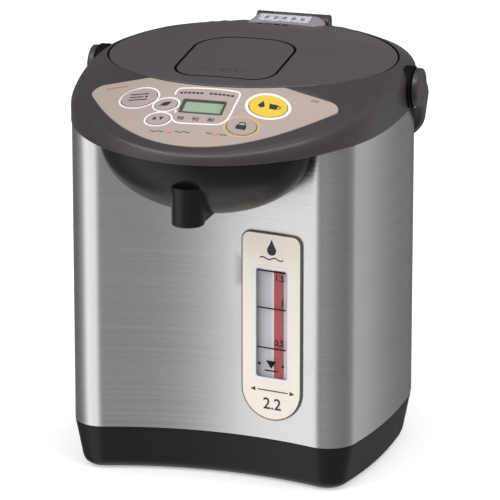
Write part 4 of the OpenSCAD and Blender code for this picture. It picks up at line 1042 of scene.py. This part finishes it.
# ---- water gauge ----
def gauge():
    on = "pot", "gauge_cream"
    h, mid, tall = GAUGE_W / 2, WINDOW_MID, WINDOW_TALL
    left, right, low = GAUGE_X - h, GAUGE_X + h, GAUGE_LOW + h
    line = arc((GAUGE_X, low), h, 180, 360) + [(right, low + k) for k in range(0, 75, 12)]
    line += arc((right - 6, GAUGE_HIGH - 6), 6, 0, 90) + arc((left + 6, GAUGE_HIGH - 6), 6, 90, 180)
    line += [(left, low + k) for k in range(72, 0, -12)]
    window = pad(WINDOW_W, tall, 2.0, mid)
    s = Shape(front)
    rings = [(0.95, 1.5, 0)] + [(d, z, 1) for d, z, _ in rounded(0.55, 1.5, 3)] + [(0, 0.06, 1)]
    s.body(line, rings, [(window, rounded(0.3, 1.5, 3) + [(0, 0.06)])], top=1.5, under=0.06, step=4.0)
    make("gauge_face", s, [cream, edge_grey], *on, ["gauge_plate"])
    s = Shape(front)
    hole = (pad(WINDOW_W - 0.6, tall - 0.6, 1.8, mid), rounded(0.2, 1.66, 2) + [(0, 0.9)])
    s.plate(pad(WINDOW_W + 4.2, tall + 4.2, 3.4, mid), 0.12, 2, 1.66, 1.4, 4.0, [hole])
    make("window_frame", s, [white], *on)
    s = Shape(front)
    s.body(pad(WINDOW_W - 0.4, tall - 0.4, 1.9, mid), rounded(0.3, 1.1, 3) + [(0, -1.3), (-1.8, -1.3)],
           top=1.1, under=-1.3, step=4.0)
    make("window_pane", s, [pane], "pot", "clear", ["gauge_window"])
    # The backing plate: lilac, with painted light and shade across it.
    s = Shape(front)
    s.slab(pad(WINDOW_W + 3.6, tall + 3.6, 2.0, mid), -2.6, -2.05, step=4.0)
    make("gauge_backing_plate", s, [gauge_back_painted], *on)

    def on_pane(u, v, h):
        return front(u, v, 1.1 + h)

    def on_plate(u, v, h):
        return front(u, v, 1.5 + h)
    marks = [bar(GAUGE_X - 9.9, z - 0.45, 19.4, 0.9) for z in (140.2, 116.1, 90.2)]
    marks += [oval(0.9, 0.9, (x, 79.4), 20) for x in (32.0, 48.0)]
    marks += [[(36.4, 82.0), (40.0, 76.8), (43.6, 82.0)], bar(35.6, 75.0, 8.8, 0.9)]
    prints("window_marks", on_pane, marks, black_ink, *on)
    words("window_numbers", [("1.5", 5.6, (45.6, 136.0)), ("1", 6.8, (47.8, 120.4)),
                             ("0.5", 5.6, (45.4, 94.1))], on_pane, black_ink, *on)
    arrows = [[(26.0, 62.6), (29.4, 61.2), (29.4, 64.0)], [(56.4, 62.6), (53.0, 64.0), (53.0, 61.2)],
              bar(30.6, 62.3, 21.2, 0.6), drop(GAUGE_X, 153.6, 3.1),
              wave(GAUGE_X - 8.0, 148.4, 16.0, 0.7, 0.8)]
    prints("gauge_marks", on_plate, arrows, ink, *on)
    words("gauge_number", [("2.2", 10.4, (40.9, 53.6))], on_plate, ink, *on)


gauge()


# ---- handle ----
def stowed(x, y, z):
    a = -STOW
    return (x, y * cos(a) - z * sin(a), PIVOT_Z + y * sin(a) + z * cos(a))


def band(s, a0, b0, a1, b1, width, r, t0, t1, n, lean=None):
    """A curved bar between two half ellipses, with rounded edges."""
    section = [(sx, sz, cos(q), sin(q)) for k, (sx, sz) in enumerate(((1, 1), (0, 1), (0, 0), (1, 0)))
               for q in (pi / 2 * (k + i / 4) for i in range(5))]
    rings = []
    for i in range(n + 1):
        t = radians(t0 + (t1 - t0) * i / n)
        x, y = a0 * cos(t), b0 * sin(t)
        dx, dy = a1 * cos(t) - x, b1 * sin(t) - y
        l = hypot(dx, dy)
        dx, dy, l = dx / l, dy / l, l * (lean(i / n) if lean else 1.0)
        rr = min(r, l * 0.45)
        co = []
        for sx, sz, cx, cz in section:
            along = (l - rr if sx else rr) + rr * cx
            z = (width / 2 - rr) * (1 if sz else -1) + rr * cz
            co.append(stowed(x + dx * along, y + dy * along, z))
        rings.append(s.points(co))
    s.skin(rings)
    s.face(rings[0])
    s.face(rings[-1][::-1])


def handle():
    s = Shape()
    band(s, 105.3, HANDLE_L, 108.8, HANDLE_L + 4.3, 17.0, 1.3, 0, 180, 120)
    r = HUB_R
    outer = ((1.3, r), (0.8, r - 0.12), (0.35, r - 0.45), (0.08, r - 1.0), (0, r - 1.6), (0, 8.4),
             (0.15, 8.1), (0.9, 8.0), (0.9, 4.05))
    hubs(s, [(ARM_IN, 4.05), (ARM_IN, r - 0.8), (ARM_IN + 0.2, r - 0.25), (ARM_IN + 0.8, r)]
         + [(ARM_OUT - a, b) for a, b in outer], 96, start=False, end=False)
    make("bail_band", s, [dark], "bail", "dark_plastic", ["handle"], sharp=40)
    s = Shape()

    def ridge(t):
        edge = min(1.0, sqrt(max(0.0, min(t, 1 - t) / 0.05)))
        return 0.25 + 0.62 * edge + 0.13 * edge * (0.5 + 0.5 * cos(2 * pi * 17 * (t - 0.5)))
    band(s, 108.75, HANDLE_L + 4.25, 112.5, HANDLE_L + 8.0, 16.6, 1.5, 62.7, 117.3, 170, ridge)
    make("bail_grip", s, [grip_rubber], "bail", "rubber", ["handle_grip"], sharp=60)
    s = Shape()
    hubs(s, [(ARM_OUT - 0.9, 7.9), (ARM_OUT - 0.35, 7.9), (ARM_OUT - 0.1, 7.7), (ARM_OUT, 7.3)])
    make("bail_caps", s, [dark], "bail", "dark_plastic", ["hub_caps"])


handle()


# ---- cord inlet ----
def inlet():
    s = Shape(lambda u, v, h: (-u, h, 50.0 + v))
    s.body(pad(40, 24, 4), [(1.0, 103.0), (0.3, 102.7), (0, 102.0), (0, 88.0)],
           wells=[(pad(28, 14, 2), [(0.5, 103.0), (0.1, 102.8), (0, 102.4), (0, 92.0)], 1)],
           top=103.0, under=88.0, step=0)
    make("inlet_frame", s, [base_dark, deep_dark], "pot", "black_plastic", ["cord_inlet"])


inlet()


# ---- stage ----
FLOOR_R, FLOOR_DEEP = 6000, 20
WORLD, FLOOR_GLOW = 0.45, 0.4
WALL_R, WALL_Z, WALL_TOP = 0.42, (-0.6, 1.4), 2.0
WALL = [(-180, 0.21), (-155, 0.12), (-120, 0.18), (-100, 0.16), (-85, 0.18), (-75, 0.23), (-65, 0.34),
        (-57, 0.56), (-50, 0.96), (-44, 1.14), (-38, 1.08), (-32, 0.99), (-27, 1), (-22, 1.03),
        (-17, 0.8), (-12, 0.46), (-7, 0.31), (0, 0.28), (10, 0.31), (22, 0.27), (36, 0.24), (52, 0.22),
        (70, 0.2), (88, 0.24), (100, 0.31), (112, 0.46), (122, 0.54), (132, 0.35), (142, 0.24),
        (152, 0.2), (162, 0.15), (180, 0.21)]  # the level at each turn from straight ahead
STRIP_R, STRIP_HALF, STRIP_Z, STRIP_LEVEL = 0.41, 75, (0.62, 0.85), 5.0
LAMPS = [("key", -42, 38, 2.2, 1.4, 19), ("overhead", 10, 84, 2.2, 2.0, 15),
         ("fill", 66, 25, 2.6, 1.8, 26), ("rear", 150, 35, 2.4, 1.4, 14)]
LAMPS_ROUND = Vector((0, 0, 0.13))
CAM_AZ, CAM_EL, CAM_FAR, CAM_TARGET = 16.60, 16.78, 2.703, Vector((-0.00339, -0.00101, 0.12168))
SENSOR, IMAGE, PX_PER_M = 36, 500, 1556


def aim(ob, target, az, el, far):
    """Places a lamp or the camera round a target and turns it there. az 0 is in front."""
    a, e = radians(az), radians(el)
    back = Vector((sin(a) * cos(e), -cos(a) * cos(e), sin(e)))
    ob.location = target + back * far
    ob.rotation_euler = back.to_track_quat("Z", "Y").to_euler()


def sky():
    scene.world = bpy.data.worlds.new("studio")
    m = Nodes("studio", scene.world)
    m.tree.nodes.clear()
    mix = m.node("ShaderNodeMixShader")
    m.link(m.direct_look(), mix.inputs[0])
    for socket, level in ((1, WORLD), (2, 1.0)):
        n = m.node("ShaderNodeBackground", Color=(1, 1, 1, 1), Strength=level)
        m.link(n.outputs[0], mix.inputs[socket])
    m.link(mix.outputs[0], m.node("ShaderNodeOutputWorld").inputs[0])


def floor():
    s = Shape()
    s.slab(oval(FLOOR_R, FLOOR_R, n=96), -FLOOR_DEEP, -0.02, step=0)
    me = bpy.data.meshes.new("floor")
    me.from_pydata([(x * MM, y * MM, z * MM) for x, y, z in s.co], [], s.faces)
    ob = add_object("floor", me)
    m = Nodes("pale_floor")
    m.put(Roughness=0.9, Specular_IOR_Level=0.0)
    m.paint(m.span(m.noise(m.coords(), 3, 2), 0, 1), (0.8, 0.8, 0.8, 1), (0.82, 0.82, 0.82, 1))
    glow = m.node("ShaderNodeEmission", Strength=FLOOR_GLOW)
    add, mix = m.node("ShaderNodeAddShader"), m.node("ShaderNodeMixShader")
    m.link(m.bsdf.outputs[0], add.inputs[0])
    m.link(glow.outputs[0], add.inputs[1])
    m.link(m.direct_look(), mix.inputs[0])
    m.link(m.bsdf.outputs[0], mix.inputs[1])
    m.link(add.outputs[0], mix.inputs[2])
    m.show(mix.outputs[0])
    me.materials.append(m.mat)
    ob.visible_glossy = False


def gloss_wall(name, radius, heights, half, n, level, colour=None):
    """A standing piece of cylinder round the pot, lit, that only gloss sees."""
    turns = [radians(half) * (2 * i / n - 1) for i in range(n + 1)]
    me = bpy.data.meshes.new(name)
    me.from_pydata([(radius * sin(t), -radius * cos(t), z) for z in heights for t in turns], [],
                   [(i, i + 1, n + 2 + i, n + 1 + i) for i in range(n)])
    ob = add_object(name, me)
    m = Nodes(name)
    m.tree.nodes.remove(m.bsdf)
    glow = m.node("ShaderNodeEmission", Strength=level)
    if colour:
        m.link(colour(m), glow.inputs[0])
    m.show(glow.outputs[0])
    me.materials.append(m.mat)
    ob.visible_camera = ob.visible_diffuse = ob.visible_transmission = ob.visible_shadow = False


def wall_colour(m):
    """Bright at the front left, for a tall soft box, and less so at the right behind."""
    axes = m.axes()
    turn = m.math("ARCTAN2", axes["X"], m.math("MULTIPLY", axes["Y"], -1.0))
    levels = [(deg, level / WALL_TOP) for deg, level in WALL]
    return m.ramp(m.span(turn, 0, 1, -pi, pi), [((deg + 180) / 360, (k, k, k, 1)) for deg, k in levels])


def stage():
    sky()
    floor()
    gloss_wall("studio_wall", WALL_R, WALL_Z, 180, 128, WALL_TOP, wall_colour)
    # The strip makes the shine along the shoulder's crease.
    gloss_wall("studio_strip", STRIP_R, STRIP_Z, STRIP_HALF, 48, STRIP_LEVEL)
    for name, az, el, far, size, power in LAMPS:
        light = bpy.data.lights.new(name, "AREA")
        light.shape, light.size, light.energy = "SQUARE", size, power
        ob = add_object(name, light)
        aim(ob, LAMPS_ROUND, az, el, far)
        ob.visible_glossy = ob.visible_camera = False


def camera():
    cam = bpy.data.cameras.new("camera")
    cam.lens, cam.sensor_width = SENSOR * PX_PER_M * CAM_FAR / IMAGE, SENSOR
    cam.clip_start, cam.clip_end = 0.05, 50
    ob = add_object("camera", cam)
    aim(ob, CAM_TARGET, CAM_AZ, CAM_EL, CAM_FAR)
    scene.camera = ob
    scene.view_settings.view_transform = "Standard"


stage()
camera()
